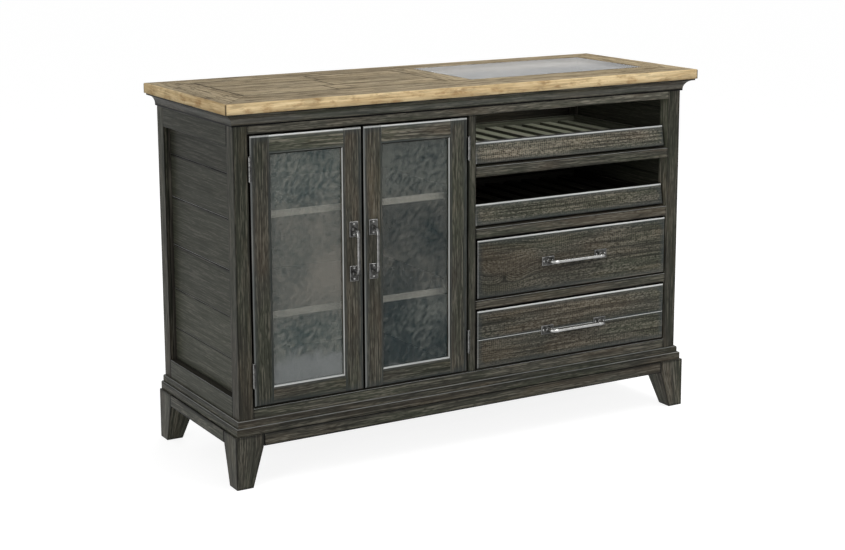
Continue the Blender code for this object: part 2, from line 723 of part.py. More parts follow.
def pull_bar_mesh(span):
    """Round bar along the path, with its sections square to the way."""
    rows = pull_path(span)
    rings = []
    for i, (y, z, radius) in enumerate(rows):
        back = rows[max(i - 1, 0)]
        ahead = rows[min(i + 1, len(rows) - 1)]
        way = math.atan2(ahead[0] - back[0], ahead[1] - back[1])
        ring = []
        for k in range(PULL_SIDES):
            t = 2 * math.pi * k / PULL_SIDES
            out = radius * math.sin(t)
            ring.append((radius * math.cos(t), y + out * math.cos(way), z - out * math.sin(way)))
        rings.append(ring)
    return loft("bar", rings, smooth=True)


def pull_plate_mesh(z):
    """Rectangular back plate with eased arrises, its middle at height z."""
    rings = []
    for inset, y in ((0.0, 0.0), (0.0, -PULL_PLATE_T + PULL_PLATE_EASE), (PULL_PLATE_EASE, -PULL_PLATE_T)):
        w = PULL_PLATE_W / 2 - inset
        h = PULL_PLATE_L / 2 - inset
        rings.append([(-w, y, z - h), (w, y, z - h), (w, y, z + h), (-w, y, z + h)])
    return loft("plate", rings)


def rivet_mesh(z):
    """Low domed rivet head on a back plate at height z, let into the plate."""
    rows = [(PULL_RIVET_R, -PULL_PLATE_T / 2)]
    for inset, deep in quarter(PULL_RIVET_R, ARC_STEPS - 1):
        rise = (PULL_RIVET_R - deep) / PULL_RIVET_R * PULL_RIVET_H
        rows.append((max(PULL_RIVET_R - inset, PULL_RIVET_TIP_R), -PULL_PLATE_T - rise))
    rings = []
    for radius, y in rows:
        rings.append([(x, y, z + up) for x, up, _ in circle(radius, 0.0, PULL_SIDES)])
    return loft("rivet", rings, smooth=True)


def pull_mesh(span):
    """Bar, two plates and two domed rivets on each plate."""
    bodies = [pull_bar_mesh(span)]
    for end in (-1, 1):
        middle = end * span / 2
        bodies.append(pull_plate_mesh(middle))
        for way in (-1, 1):
            bodies.append(rivet_mesh(middle + way * (PULL_PLATE_L / 2 - PULL_RIVET_INSET)))
    return combined("pull", bodies, smooth=True)


# Doors
def rect(x0, x1, z0, z1, y):
    """Upright rectangle of four points at depth y."""
    return [(x0, y, z0), (x1, y, z0), (x1, y, z1), (x0, y, z1)]


def door_frame_mesh():
    """Stiles and rails about the door's lower left corner, rounded outside, moulded inside."""
    sight = (STILE_W, DOOR_W - STILE_W, DOOR_BOTTOM_RAIL_W, DOOR_Z1 - DOOR_Z0 - DOOR_TOP_RAIL_W)

    def outer(inset, y):
        return rect(inset, DOOR_W - inset, inset, DOOR_Z1 - DOOR_Z0 - inset, y)

    def inner(grow, y):
        return rect(sight[0] - grow, sight[1] + grow, sight[2] - grow, sight[3] + grow, y)

    rings = [outer(0.0, DOOR_T)]
    rings += [outer(inset, deep) for inset, deep in quarter(FACE_EDGE_R)]
    rings += [inner(0.0, 0.0), inner(-STICKING_W, STICKING_DEEP), inner(-STICKING_W, GLASS_SEAT_DEEP)]
    rebate = GLASS_REBATE_W - STICKING_W
    rings += [inner(rebate, GLASS_SEAT_DEEP), inner(rebate, DOOR_T)]
    return loft("door_frame", rings, closed=True)


def make_door(side):
    """Frame, pane, pull and two door leaves, carried at the hinge axis of that side."""
    left = side == "left"
    x0 = DOOR_BAY_X0 + DOOR_GAP if left else DOOR_BAY_X1 - DOOR_GAP - DOOR_W
    axis_x = DOOR_BAY_X0 + DOOR_GAP / 2 if left else DOOR_BAY_X1 - DOOR_GAP / 2
    carrier = joint_empty("door_" + side + "_axis", (axis_x, HINGE_Y, DOOR_Z0))
    name = "door_" + side + "_frame"
    add(name, door_frame_mesh(), wood(name), (x0, FACE_Y, DOOR_Z0), carrier)
    make_door_glass(side, x0, carrier)
    make_door_pull(side, x0, carrier)
    hand = 1 if left else -1
    hinge_name = "door_" + side + "_hinge_"
    for where, z in (("lower", DOOR_Z0 + HINGE_INSET), ("upper", DOOR_Z1 - HINGE_INSET)):
        place = (axis_x, HINGE_Y, z)
        add(hinge_name + where + "_post_leaf", fixed_leaf_mesh(-hand), pewter("hinge_metal"), place)
        add(hinge_name + where + "_door_leaf", door_leaf_mesh(hand), pewter("hinge_metal"), place, carrier)


def make_door_glass(side, x0, carrier):
    """Pane in the rebate behind the sticking."""
    grow = GLASS_REBATE_W - STICKING_W - FIT
    x = (x0 + STILE_W - grow, x0 + DOOR_W - STILE_W + grow)
    z = (DOOR_Z0 + DOOR_BOTTOM_RAIL_W - grow, DOOR_Z1 - DOOR_TOP_RAIL_W + grow)
    y0 = FACE_Y + GLASS_SEAT_DEEP + FIT
    board("door_" + side + "_glass", x, (y0, y0 + GLASS_T), z, glass("door_glass"), carrier, 0.0)


def make_door_pull(side, x0, carrier):
    """Upright pull on the middle of the stile beside the other door."""
    x = x0 + DOOR_W - STILE_W / 2 if side == "left" else x0 + STILE_W / 2
    z = (DOOR_Z0 + DOOR_Z1) / 2 + DOOR_PULL_ABOVE_MIDDLE
    place = (x, FACE_Y - FIT, z)
    add("door_" + side + "_pull", pull_mesh(DOOR_PULL_SPAN), pewter("pull_metal"), place, carrier)


# Boxes that slide
def box_x():
    """Left and right side of a sliding box in the drawer bay."""
    return DRAWER_BAY_X0 + BOX_SIDE_GAP, DRAWER_BAY_X1 - BOX_SIDE_GAP


def slide_box_mesh(name, width, depth, height):
    """Open box about its front lower left corner, with its floor let in above its lower edge."""
    def ring(inset, z):
        return [(inset, inset, z), (width - inset, inset, z),
                (width - inset, depth - inset, z), (inset, depth - inset, z)]

    under = BOX_FLOOR_RISE
    rings = [ring(BOX_WALL_T, under), ring(BOX_WALL_T, 0.0), ring(0.0, 0.0), ring(0.0, height)]
    rings += [ring(BOX_WALL_T, height), ring(BOX_WALL_T, under + BOX_FLOOR_T)]
    return loft(name, rings)


def face_x():
    """Left and right end of a drawer or tray face."""
    return DRAWER_BAY_X0 + DOOR_GAP, DRAWER_BAY_X1 - DOOR_GAP


def make_drawer(name, opening_z, seam):
    """Face, box and pull, carried at the middle of the face."""
    x = face_x()
    z = (opening_z + DOOR_GAP, opening_z + DRAWER_OPENING_H - DOOR_GAP)
    middle = ((x[0] + x[1]) / 2, FACE_Y, (z[0] + z[1]) / 2)
    carrier = joint_empty(name + "_slide", middle)
    mesh = drawer_face_mesh(x[1] - x[0], z[1] - z[0], seam)
    add(name + "_face", mesh, wood(name + "_face_wood", FACE_LIFT_share), (x[0], FACE_Y, z[0]), carrier)
    box = box_x()
    made = slide_box_mesh(name + "_box", box[1] - box[0], DRAWER_BOX_D, DRAWER_BOX_H)
    place = (box[0], DRAWER_BOX_Y0, opening_z + FIT)
    add(name + "_box", made, wood("drawer_box_wood", INNER_LIFT_share), place, carrier)
    pull_place = (middle[0], FACE_Y - FIT, middle[2])
    pull = add(name + "_pull", pull_mesh(DRAWER_PULL_SPAN), pewter("pull_metal"), pull_place, carrier)
    pull.rotation_euler.y = math.radians(90)


def drawer_face_mesh(width, height, seam):
    """Board with rounded front arrises; the lower drawer's has a seam between two boards."""
    rings = [rect(0.0, width, 0.0, height, DRAWER_FACE_T)]
    for inset, deep in quarter(FACE_EDGE_R):
        rings.append(rect(inset, width - inset, inset, height - inset, deep))
    panel = loft("drawer_face", rings)
    if not seam:
        return panel
    middle = height / 2
    notch = [(-SEAM_DEEP, middle - SEAM_W), (SEAM_DEEP, middle), (-SEAM_DEEP, middle + SEAM_W)]
    return combined("drawer_face", [panel, prism_x("seam", notch, -width, 2 * width)], "DIFFERENCE")


def make_tray(name, opening_z):
    """Leaning face, shallow box and a rack of slats for bottles, carried at the face."""
    x = face_x()
    z0 = opening_z + TRAY_FACE_RISE
    carrier = joint_empty(name + "_slide", ((x[0] + x[1]) / 2, TRAY_FACE_Y, z0))
    mesh = tray_face_mesh(x[1] - x[0])
    add(name + "_face", mesh, wood(name + "_face_wood", FACE_LIFT_share), (x[0], TRAY_FACE_Y, z0), carrier)
    box = box_x()
    made = slide_box_mesh(name + "_box", box[1] - box[0], TRAY_BOX_D, TRAY_BOX_H)
    place = (box[0], TRAY_BOX_Y0, opening_z + FIT)
    add(name + "_box", made, wood("tray_box_wood", INNER_LIFT_share), place, carrier)
    rack_z = opening_z + FIT + BOX_FLOOR_RISE + BOX_FLOOR_T + FIT
    rack_place = ((box[0] + box[1]) / 2, TRAY_BOX_Y0 + BOX_WALL_T + FIT, rack_z)
    add(name + "_slats", slat_rack_mesh(), wood("slat_wood", SLAT_LIFT_share), rack_place, carrier)


def tray_face_mesh(width):
    """Board whose front leans back towards its rounded upper arris, and whose back is upright."""
    rings = [rect(0.0, width, 0.0, TRAY_FACE_H, TRAY_FACE_T)]
    for inset, deep in quarter(FACE_EDGE_R):
        flat = rect(inset, width - inset, inset, TRAY_FACE_H - inset, deep)
        rings.append([(x, y + TRAY_FACE_LEAN * z / TRAY_FACE_H, z) for x, y, z in flat])
    return loft("tray_face", rings)


def slat_rack_mesh():
    """Slats from front to back on two battens, with a bottle's hollow between each two."""
    depth = TRAY_BOX_D - 2 * BOX_WALL_T - 2 * FIT
    half_w = (SLATS_PER_TRAY - 1) / 2 * SLAT_PITCH + SLAT_W / 2
    bodies = []
    for y in (BATTEN_INSET, depth - BATTEN_INSET - BATTEN_W):
        bodies.append(box_mesh("batten", (-half_w, half_w), (y, y + BATTEN_W), (0.0, BATTEN_T)))
    for index in range(SLATS_PER_TRAY):
        middle = (index - (SLATS_PER_TRAY - 1) / 2) * SLAT_PITCH
        bodies.append(prism_y("slat", slat_outline(middle), 0.0, depth))
    return combined("slat_rack", bodies)


def slat_outline(middle):
    """Section of one slat, let into the battens, with its upper arrises taken off."""
    half = SLAT_W / 2
    low = BATTEN_T - SLAT_LAP
    high = low + SLAT_T
    shoulder = [(middle + half, high - SLAT_EASE), (middle + half - SLAT_EASE, high)]
    mirrored = [(2 * middle - x, z) for x, z in reversed(shoulder)]
    return [(middle - half, low), (middle + half, low), *shoulder, *mirrored]


def clear_scene():
    """Removes whatever the new file holds."""
    for found in list(bpy.data.objects):
        bpy.data.objects.remove(found)


def build():
    """Makes every piece of the cabinet."""
    clear_scene()
    make_top()
    make_crown()
    make_base_ledges()
    make_feet()
    make_bands()
    make_posts()
    make_face_frame()
    make_web_frame("upper_tray_frame", UPPER_TRAY_RAIL_Z0, TRAY_RAIL_H)
    make_web_frame("lower_tray_frame", LOWER_TRAY_RAIL_Z0, TRAY_RAIL_H)
    make_web_frame("drawer_frame", DRAWER_RAIL_Z0, DRAWER_RAIL_H)
    make_sides()
    make_inside()
    make_door("left")
    make_door("right")
    make_tray("tray_upper", UPPER_TRAY_Z0)
    make_tray("tray_lower", LOWER_TRAY_Z0)
    make_drawer("drawer_upper", UPPER_DRAWER_Z0, False)
    make_drawer("drawer_lower", OPENING_Z0, True)


build()
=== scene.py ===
# %% [markdown]
# # A wine server cabinet
# This lesson dresses a cabinet whose carcass, doors, trays and drawers already move.
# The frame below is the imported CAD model: it fixes every size, and nothing in it is moved.
# Each step covers some of its plain solids with finer pieces, worked out as whole arrays with numpy.
# %% Load the frame
import json
import math

import bpy
import numpy as np
from mathutils import Matrix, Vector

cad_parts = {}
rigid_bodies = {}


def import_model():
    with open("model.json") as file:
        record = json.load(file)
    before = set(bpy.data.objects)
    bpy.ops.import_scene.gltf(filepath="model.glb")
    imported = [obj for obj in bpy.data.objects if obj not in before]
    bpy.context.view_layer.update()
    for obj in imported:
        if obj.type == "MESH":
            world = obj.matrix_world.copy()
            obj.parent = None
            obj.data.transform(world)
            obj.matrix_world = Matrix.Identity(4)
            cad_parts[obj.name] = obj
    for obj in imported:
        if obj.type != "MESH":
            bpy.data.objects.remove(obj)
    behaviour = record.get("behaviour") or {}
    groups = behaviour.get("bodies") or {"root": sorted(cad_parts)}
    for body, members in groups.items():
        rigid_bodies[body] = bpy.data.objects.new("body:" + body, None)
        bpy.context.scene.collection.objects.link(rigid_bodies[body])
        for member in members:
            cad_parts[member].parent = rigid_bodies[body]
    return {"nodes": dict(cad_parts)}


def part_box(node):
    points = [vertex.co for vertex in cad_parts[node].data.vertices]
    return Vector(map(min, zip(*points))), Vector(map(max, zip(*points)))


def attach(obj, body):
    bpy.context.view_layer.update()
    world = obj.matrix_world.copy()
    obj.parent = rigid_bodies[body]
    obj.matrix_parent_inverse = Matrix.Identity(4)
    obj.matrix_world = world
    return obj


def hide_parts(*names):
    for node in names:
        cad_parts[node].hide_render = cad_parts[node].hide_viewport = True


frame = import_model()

scene = bpy.context.scene
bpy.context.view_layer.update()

# %% [markdown]
# ## The camera
# The photograph was taken from the left, a little above the top board, with a long lens.
# Such a camera can be set by eye, but here its turn, place and lens were fitted to the cabinet's corners.
# The small shift frames the cabinet as the photograph does and keeps its upright lines nearly upright.
# %% Camera
YAW, PITCH, ROLL = math.radians(29.909), math.radians(10.851), math.radians(-0.280)
CAMERA_PLACE = (-2.3382, -3.9316, 1.4883)
LENS_MM, SHIFT_X, SHIFT_Y = 72.772, 0.0217, -0.0828


def turned_camera(yaw, pitch, roll):
    """Level camera looking along +Y, turned right by yaw, tipped down by pitch and rolled about its own axis."""
    level = Matrix.Rotation(-yaw, 4, "Z") @ Matrix.Rotation(math.pi / 2 - pitch, 4, "X")
    return level @ Matrix.Rotation(roll, 4, "Z")


lens = bpy.data.cameras.new("camera")
lens.lens = LENS_MM
lens.shift_x, lens.shift_y = SHIFT_X, SHIFT_Y
camera = bpy.data.objects.new("camera", lens)
camera.matrix_world = Matrix.Translation(CAMERA_PLACE) @ turned_camera(YAW, PITCH, ROLL)
scene.collection.objects.link(camera)
scene.camera = camera
scene.view_settings.view_transform = "Standard"
print("camera at", tuple(round(c, 2) for c in camera.location), "with a", lens.lens, "mm lens")

# %% [markdown]
# ## Small helpers for shader nodes
# A finish is a tree of nodes. Typing each node and each link out in full hides the idea of the finish,
# so a few helpers fill a node's sockets, do one sum, blend two colours, and add noise or a bump.
# %% Node helpers
WHITE = (1.0, 1.0, 1.0, 1.0)
TONE_STEP = 0.12


def fill(tree, node, inputs):
    """Each socket, by name or number, is set to its value or linked to the socket that feeds it."""
    for key, value in dict(inputs).items():
        if isinstance(value, bpy.types.NodeSocket):
            tree.links.new(value, node.inputs[key])
        else:
            node.inputs[key].default_value = value


def add_node(tree, kind, inputs=(), **settings):
    """One new node with its settings and its inputs."""
    made = tree.nodes.new("ShaderNode" + kind)
    for key, value in settings.items():
        setattr(made, key, value)
    fill(tree, made, inputs)
    return made


def maths(tree, operation, first, second=0.0, clamp=False):
    """Result of one sum on two values or sockets."""
    return add_node(tree, "Math", {0: first, 1: second}, operation=operation, use_clamp=clamp).outputs[0]


def times(tree, first, second, clamp=False):
    """Product of two values or sockets."""
    return maths(tree, "MULTIPLY", first, second, clamp)


def vector_maths(tree, operation, first, second):
    """Result of one sum on two vectors, part by part."""
    return add_node(tree, "VectorMath", {0: first, 1: second}, operation=operation).outputs[0]


def blend(tree, share, first, second, mode="MIX"):
    """Colour that goes from the first to the second as the share goes from 0 to 1."""
    made = add_node(tree, "Mix", {0: share, 6: first, 7: second}, data_type="RGBA", blend_type=mode)
    return made.outputs[2]


def spread(tree, value, low, high, to_low=0.0, to_high=1.0):
    """Value carried from the range low to high onto another range, and held at its ends."""
    made = add_node(tree, "MapRange", {0: value, 1: low, 2: high, 3: to_low, 4: to_high})
    return made.outputs[0]


def noise(tree, place, scale, detail=3.0, roughness=0.55, output="Fac"):
    """Soft noise whose scale is set for each axis, in waves per metre."""
    scaled = vector_maths(tree, "MULTIPLY", place, scale)
    return add_node(tree, "TexNoise", {"Vector": scaled, "Scale": 1.0, "Detail": detail,
                                       "Roughness": roughness}).outputs[output]


def weighed(tree, *pairs):
    """Sum of values, each times its own weight."""
    total = None
    for value, weight in pairs:
        part = times(tree, value, weight)
        total = part if total is None else maths(tree, "ADD", total, part)
    return total


def parts_of(tree, vector):
    """The three numbers that a vector is made of."""
    return add_node(tree, "SeparateXYZ", {0: vector}).outputs


def object_place(tree):
    """Where a point lies on its own object."""
    return add_node(tree, "TexCoord").outputs["Object"]


def bumped(tree, height, strength, distance):
    """Normal that is tilted by the slope of a height."""
    return add_node(tree, "Bump", {"Strength": strength, "Distance": distance, "Height": height}).outputs[0]


def shaded(tree, colour, tone):
    """Colour made paler or darker, by an eighth or so for each unit of tone."""
    shade = maths(tree, "ADD", times(tree, tone, TONE_STEP), 1.0)
    grey = add_node(tree, "CombineXYZ", {0: shade, 1: shade, 2: shade}).outputs[0]
    return blend(tree, 1.0, colour, grey, "MULTIPLY")


def new_finish(name):
    """Empty material with its tree and its Principled shader."""
    made = bpy.data.materials.new(name)
    made.use_nodes = True
    tree = made.node_tree
    return made, tree, tree.nodes["Principled BSDF"]


# %% [markdown]
# ## The studio
# The picture has a white ground. White could come from very strong lamps, but these would bleach the wood.
# Instead the world and the floor show white only to the camera, to reflections and through glass,
# and the floor keeps part of its own shading, so that the cabinet's soft shadow stays.
# %% World and floor
def seen_share(tree):
    """1 for rays from the camera, from a reflection or through glass, 0 for soft light."""
    path = add_node(tree, "LightPath")
    both = maths(tree, "MAXIMUM", path.outputs["Is Camera Ray"], path.outputs["Is Glossy Ray"])
    return maths(tree, "MAXIMUM", both, path.outputs["Is Transmission Ray"])


def make_world(soft_strength):
    """White world whose soft light has its own, lower strength."""
    world = bpy.data.worlds.new("studio")
    scene.world = world
    world.use_nodes = True
    tree = world.node_tree
    strength = spread(tree, seen_share(tree), 0.0, 1.0, soft_strength, 1.0)
    fill(tree, tree.nodes["Background"], {"Color": WHITE, "Strength": strength})


def make_floor(size, soft_grey, seen_grey, glow):
    """Wide pale floor that glows a little where it is seen, and whose shading keeps the shadow."""
    corners = np.array([(-1, -1, 0), (1, -1, 0), (1, 1, 0), (-1, 1, 0)]) * size
    mesh = bpy.data.meshes.new("studio_floor")
    mesh.from_pydata(corners, [], [(0, 1, 2, 3)])
    finish, tree, shader = new_finish("floor_paper")
    seen = seen_share(tree)
    colour = blend(tree, seen, [soft_grey] * 3 + [1.0], [seen_grey] * 3 + [1.0])
    fill(tree, shader, {"Base Color": colour, "Emission Color": WHITE, "Emission Strength": times(tree, seen, glow),
                        "Roughness": 1.0, "Specular IOR Level": 0.0})
    mesh.materials.append(finish)
    floor = bpy.data.objects.new("studio_floor", mesh)
    scene.collection.objects.link(floor)


make_world(soft_strength=0.45)
make_floor(size=30.0, soft_grey=0.72, seen_grey=0.30, glow=0.86)

# %% [markdown]
# The lamps are soft boxes. A wide one hangs overhead to the right, where the top arrises of the drawers mirror it.
# An upright one stands on the left for the side and the left arrises, one far in front fills the shadows,
# and one behind lights the back.
# %% Lamps
def soft_box(name, place, aim, size, power):
    """Rectangular lamp at a place, facing the point that it aims at, hidden from the camera itself."""
    lamp = bpy.data.lights.new(name, "AREA")
    lamp.shape = "RECTANGLE"
    lamp.size, lamp.size_y = size
    lamp.energy = power
    made = bpy.data.objects.new(name, lamp)
    way = np.array(aim, float) - np.array(place, float)
    flat = math.hypot(way[0], way[1])
    tip = Matrix.Rotation(math.atan2(flat, -way[2]), 4, "X")
    turn = Matrix.Rotation(math.atan2(-way[0], way[1]), 4, "Z")
    made.matrix_world = Matrix.Translation(place) @ turn @ tip
    made.visible_camera = False
    scene.collection.objects.link(made)


LAMPS = {"overhead_box": ((1.15, -0.75, 3.0), (0.2, -0.15, 0.6), (2.6, 0.5), 42.0),
         "left_box": ((-3.2, -1.6, 1.2), (-0.3, 0.0, 0.5), (0.9, 2.2), 26.0),
         "front_box": ((0.6, -4.2, 1.9), (0.0, 0.0, 0.5), (2.4, 1.2), 40.0),
         "back_box": ((1.5, 3.5, 2.4), (0.0, 0.0, 0.5), (2.4, 1.2), 50.0)}
for name, (place, aim, size, power) in LAMPS.items():
    soft_box(name, place, aim, size, power)

# %% [markdown]
# ## A board as a surface
# Every wooden part is a board: a long box whose arrises were eased by hand.
# A scaled cube with a bevel would do for one, but a board here also needs its own grain and its worn edges.
# So its skin is cut at chosen stops on each axis, close together at the arrises, and its points are then bent
# into shape all at once.
# %% The skin of a box
ARC_STEPS, ARRIS_R, SWAY = 5, 0.0012, 0.0004
NARROWEST_REACH, WIDEST_REACH = 0.005, 0.020
# nearness values of painted shade: the first for edge faces in gaps and for shadow lines, the second for faces
# beside a moulding or in a recess
GAP_SHADE, SHADED_FACE = 2.0, 1.36
BEHIND_FACE = 0.0012


def reach_of(radius):
    """How far the wear of an arris reaches over the face: further the rounder the arris is."""
    return float(np.clip(3.5 * radius, NARROWEST_REACH, WIDEST_REACH))


def corners_of(node):
    """Low and high corner of a CAD node's box, as arrays."""
    return tuple(np.array(corner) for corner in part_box(node))


def box_skin(cuts):
    """Points and quads of a box cut at the given stops: the six outer sheets of the lattice of stops."""
    sizes = [len(c) for c in cuts]
    number = np.arange(np.prod(sizes)).reshape(sizes)
    sheets = [number[:, :, -1], number[:, :, 0].T, number[-1], number[0].T, number[:, -1].T, number[:, 0]]
    corners = [np.stack([s[:-1, :-1], s[1:, :-1], s[1:, 1:], s[:-1, 1:]], -1).reshape(-1, 4) for s in sheets]
    used, quads = np.unique(np.concatenate(corners), return_inverse=True)
    lattice = np.stack(np.meshgrid(*cuts, indexing="ij"), -1).reshape(-1, 3)
    return lattice[used], quads.reshape(-1, 4)


def stops(low, high, near_low, near_high, step):
    """Stops from low to high: those near each arris, one where its wear ends, then even ones a step apart."""
    quarter = (high - low - near_low[-1] - near_high[-1]) / 4
    first = low + near_low[-1] + min(reach_of(near_low[-1]), quarter)
    last = high - near_high[-1] - min(reach_of(near_high[-1]), quarter)
    count = max(1, round((last - first) / step))
    return np.concatenate([low + near_low, np.linspace(first, last, count + 1), high - near_high[::-1]])


def arris_distance(points, low, high):
    """Distance to the nearest arris: the second smallest of the distances to the three pairs of faces."""
    to_faces = np.minimum(points - low, high - points)
    return np.sort(to_faces, axis=1)[:, 1]


# %% [markdown]
# A board's colour follows its grain, not the room. So each point keeps its place along and across the grain
# in an attribute, shifted by a chance amount for each board, so that no two boards share a pattern.
# A second attribute holds three marks: how near an arris is, how light the board is, and how far it is polished;
# polish lowers the roughness and paints a pale highlight. A nearness above 1 is painted shade: the darker value
# on an edge face in a gap or a shadow line, the lighter one beside a moulding or in a recess.
# A polish below 0 is the core of a knot. The chance tone lies between -1 and 1, and a part can be given its own,
# for some parts painted light or shade.
# %% Grain and wear
chance = np.random.default_rng(11)
GRAIN_ORDER = {"x": [0, 1, 2], "y": [1, 0, 2], "z": [2, 0, 1]}


def outward(points, quads, caps):
    """Faces turned round where the solid's volume, a sum over its corner fans, comes out negative."""
    p = points - points.mean(axis=0)
    a, b, c, d = (p[quads[:, i]] for i in range(4))
    volume = np.einsum("ij,ij->", a, np.cross(b, c) + np.cross(c, d))
    for fan in (p[cap] for cap in caps):
        volume += np.einsum("ij,ij->", np.broadcast_to(fan[0], fan[2:].shape), np.cross(fan[1:-1], fan[2:]))
    if volume < 0:
        return quads[:, ::-1], [cap[::-1] for cap in caps]
    return quads, list(caps)


def as_surface(points, quads, caps=(), along="x", wear_and_shade=0.0, polish_and_highlight=0.0):
    """Closed surface with its grain coordinates, and its marks: nearness to an arris, a chance tone, polish."""
    quads, caps = outward(points, quads, caps)
    grain = points[:, GRAIN_ORDER[along]] + chance.uniform(-3, 3, 3)
    marks = np.zeros((len(points), 3))
    for column, mark in enumerate((wear_and_shade, chance.uniform(-1, 1), polish_and_highlight)):
        marks[:, column] = mark
    return {"points": points, "quads": quads, "caps": caps, "grain": grain, "marks": marks}


def rounded_board(low, high, radius, steps=(0.02, 0.02, 0.02), along="x", sway=0.0, wear_and_highlight=None,
                  dark=None):
    """Board with all arrises round: each point is pulled into the box that is smaller by the radius all round,
    then pushed out from there by the radius. Sway hollows the faces by a few long sine waves; the next argument
    is the direction in which an arris has to point to be polished and get a painted highlight, and dark that of a
    face where painted shade is laid."""
    low, high = np.array(low, float), np.array(high, float)
    radius = min(radius, 0.45 * (high - low).min())
    near = radius * (1 - np.tan(np.linspace(math.pi / 4, 0, ARC_STEPS + 1)))
    points, quads = box_skin([stops(low[i], high[i], near, near, steps[i]) for i in range(3)])
    core = np.clip(points, low + radius, high - radius)
    way = points - core
    length = np.linalg.norm(way, axis=1, keepdims=True)
    shape = core + way * (radius / length)
    wear_and_shade = np.clip(1 - arris_distance(shape, low, high) / reach_of(radius), 0, 1)
    surface = as_surface(shape, quads, along=along, wear_and_shade=wear_and_shade)
    # painted highlight on the arrises that point the given way
    if wear_and_highlight is not None:
        surface["marks"][:, 2] = 0.5 * np.clip(6 * (way / length @ np.array(wear_and_highlight)) - 5, 0, 1)
    if dark is not None:
        # painted shade on the face that points the dark way
        surface["marks"][way / length @ np.array(dark) > 0.9, 0] = SHADED_FACE
    if sway:
        surface["points"] = shape - way / length * sway * hollows(surface["grain"])[:, None]
    return surface


def hollows(grain):
    """Gentle unevenness from 0 to 1: long sine waves along the grain and shorter ones across, added up."""
    a, c, d = grain.T
    waves = np.sin(a * 9 + c * 21) + np.sin(a * 23 - c * 47 + 1.7) + np.sin(a * 5 + d * 60 + c * 33 + 0.6)
    return 0.5 + waves / 6


# %% [markdown]
# Most fronts are more than a rounded box: a drawer front has a wide quarter round, saw marks and a seam.
# For these one face is a relief, a depth for every point of the face, and the other faces follow its rim.
# %% A board with a relief
FACES = {"front": (0, 2, 1, 1), "back": (0, 2, 1, -1), "left": (1, 2, 0, 1), "right": (1, 2, 0, -1),
         "top": (0, 1, 2, -1)}


def quarter_round(inset, radius):
    """Depth below the face at some distance in from its rim: a quarter circle, then flat."""
    across = np.clip(radius - inset, 0, radius)
    return radius - np.sqrt(np.maximum(radius ** 2 - across ** 2, 0))


def highlight_profile(share):
    """Polish and painted highlight: full on the crest of a quarter round, none at its outer edge or where it meets
    the face.
    """
    return np.interp(share, [0.10, 0.25, 0.62, 0.95], [0.0, 1.0, 1.0, 0.0])


def shade_outside(near, share):
    """Nearness, made painted shade, as on an edge face in a gap, on the outer part of a quarter round."""
    return np.where(share < 0.15, GAP_SHADE, near)


def relief_board(low, high, face, radii, steps, relief=None, along="x", reshape=None, polish_and_highlight=(0, 0, 0, 0)):
    """Board whose face has a depth at each point: the deepest quarter round of the four rims, plus the relief.
    The points behind it share out what is left of the thickness. Reshape then slides the whole, and the last
    argument says how far each of the four rims is polished and how bright a highlight is painted on it."""
    u_axis, v_axis, depth_axis, way = FACES[face]
    low, high = np.array(low, float), np.array(high, float)
    radii = np.broadcast_to(np.array(radii, float), 4)
    turn = 1 - np.cos(np.linspace(0, math.pi / 2, ARC_STEPS + 2))
    thick = high[depth_axis] - low[depth_axis]
    cuts = [stops(low[axis], high[axis], near * turn, far * turn, step)
            for axis, near, far, step in ((u_axis, *radii[:2], steps[0]), (v_axis, *radii[2:], steps[1]))]
    points, quads = box_skin([*cuts, np.array([0, BEHIND_FACE, thick / 2, thick])])
    u, v, w = points.T
    rims = np.array([u - low[u_axis], high[u_axis] - u, v - low[v_axis], high[v_axis] - v])
    depth = np.max([quarter_round(rim, radius) for rim, radius in zip(rims, radii)], axis=0)
    if relief is not None:
        depth = depth + relief(u, v, rims.min(axis=0))
    inward = depth + w / thick * (thick - depth)
    shape = np.empty_like(points)
    shape[:, u_axis], shape[:, v_axis] = u, v
    shape[:, depth_axis] = low[depth_axis] + inward if way > 0 else high[depth_axis] - inward
    if reshape is not None:
        shape = reshape(shape)
    near = np.max([np.clip(1 - rim / reach_of(radius), 0, 1) for rim, radius in zip(rims, radii)], axis=0)
    # painted highlight on each rim, as bright as the rim is polished
    bright = [share * highlight_profile(rim / radius) for share, rim, radius in zip(polish_and_highlight, rims, radii)]
    behind = w > BEHIND_FACE / 2
    bright = np.where(behind, 0.0, np.max(bright, axis=0))
    near = shade_outside(near, (rims / np.maximum(radii, 0.003)[:, None]).min(axis=0))
    near = np.where(behind & (rims.min(axis=0) > 1e-6), 0.0, near)
    return as_surface(shape, quads, (), along, near, bright)


# %% [markdown]
# Mouldings, pulls and hinges are a section carried along a way: one ring of points for each station,
# skinned from ring to ring. The same skin does a turned part, whose rings are circles.
# %% Rings, and putting a piece into the scene
def swept(rings, along="x", wear_and_shade=0.0, polish_and_highlight=0.0):
    """Skin over an array of rings (stations, points round the ring, 3), closed with a cap at both ends.
    The first mark, wear with painted shade, and the third, polish with a painted highlight, are one number,
    one for each point round the ring, or one for every point."""
    stations, count = rings.shape[:2]
    number = np.arange(stations * count).reshape(stations, count)
    ahead = np.roll(number, -1, axis=1)
    quads = np.stack([number[:-1], ahead[:-1], ahead[1:], number[1:]], -1).reshape(-1, 4)
    wear_and_shade, polish_and_highlight = (np.broadcast_to(mark, (stations, count)).ravel() for mark in (wear_and_shade, polish_and_highlight))
    return as_surface(rings.reshape(-1, 3), quads, [number[0][::-1], number[-1]], along, wear_and_shade, polish_and_highlight)


def toned(surface, tone):
    """Surface with a tone of its own instead of the chance one: a number, or one for each point."""
    surface["marks"][:, 1] = tone
    return surface


def joined(surfaces):
    """Several surfaces as one: their arrays end to end, with the face numbers moved on to match."""
    firsts = np.cumsum([0] + [len(s["points"]) for s in surfaces[:-1]])
    whole = {key: np.concatenate([s[key] for s in surfaces]) for key in ("points", "grain", "marks")}
    whole["quads"] = np.concatenate([s["quads"] + first for s, first in zip(surfaces, firsts)])
    whole["caps"] = [cap + first for s, first in zip(surfaces, firsts) for cap in s["caps"]]
    return whole


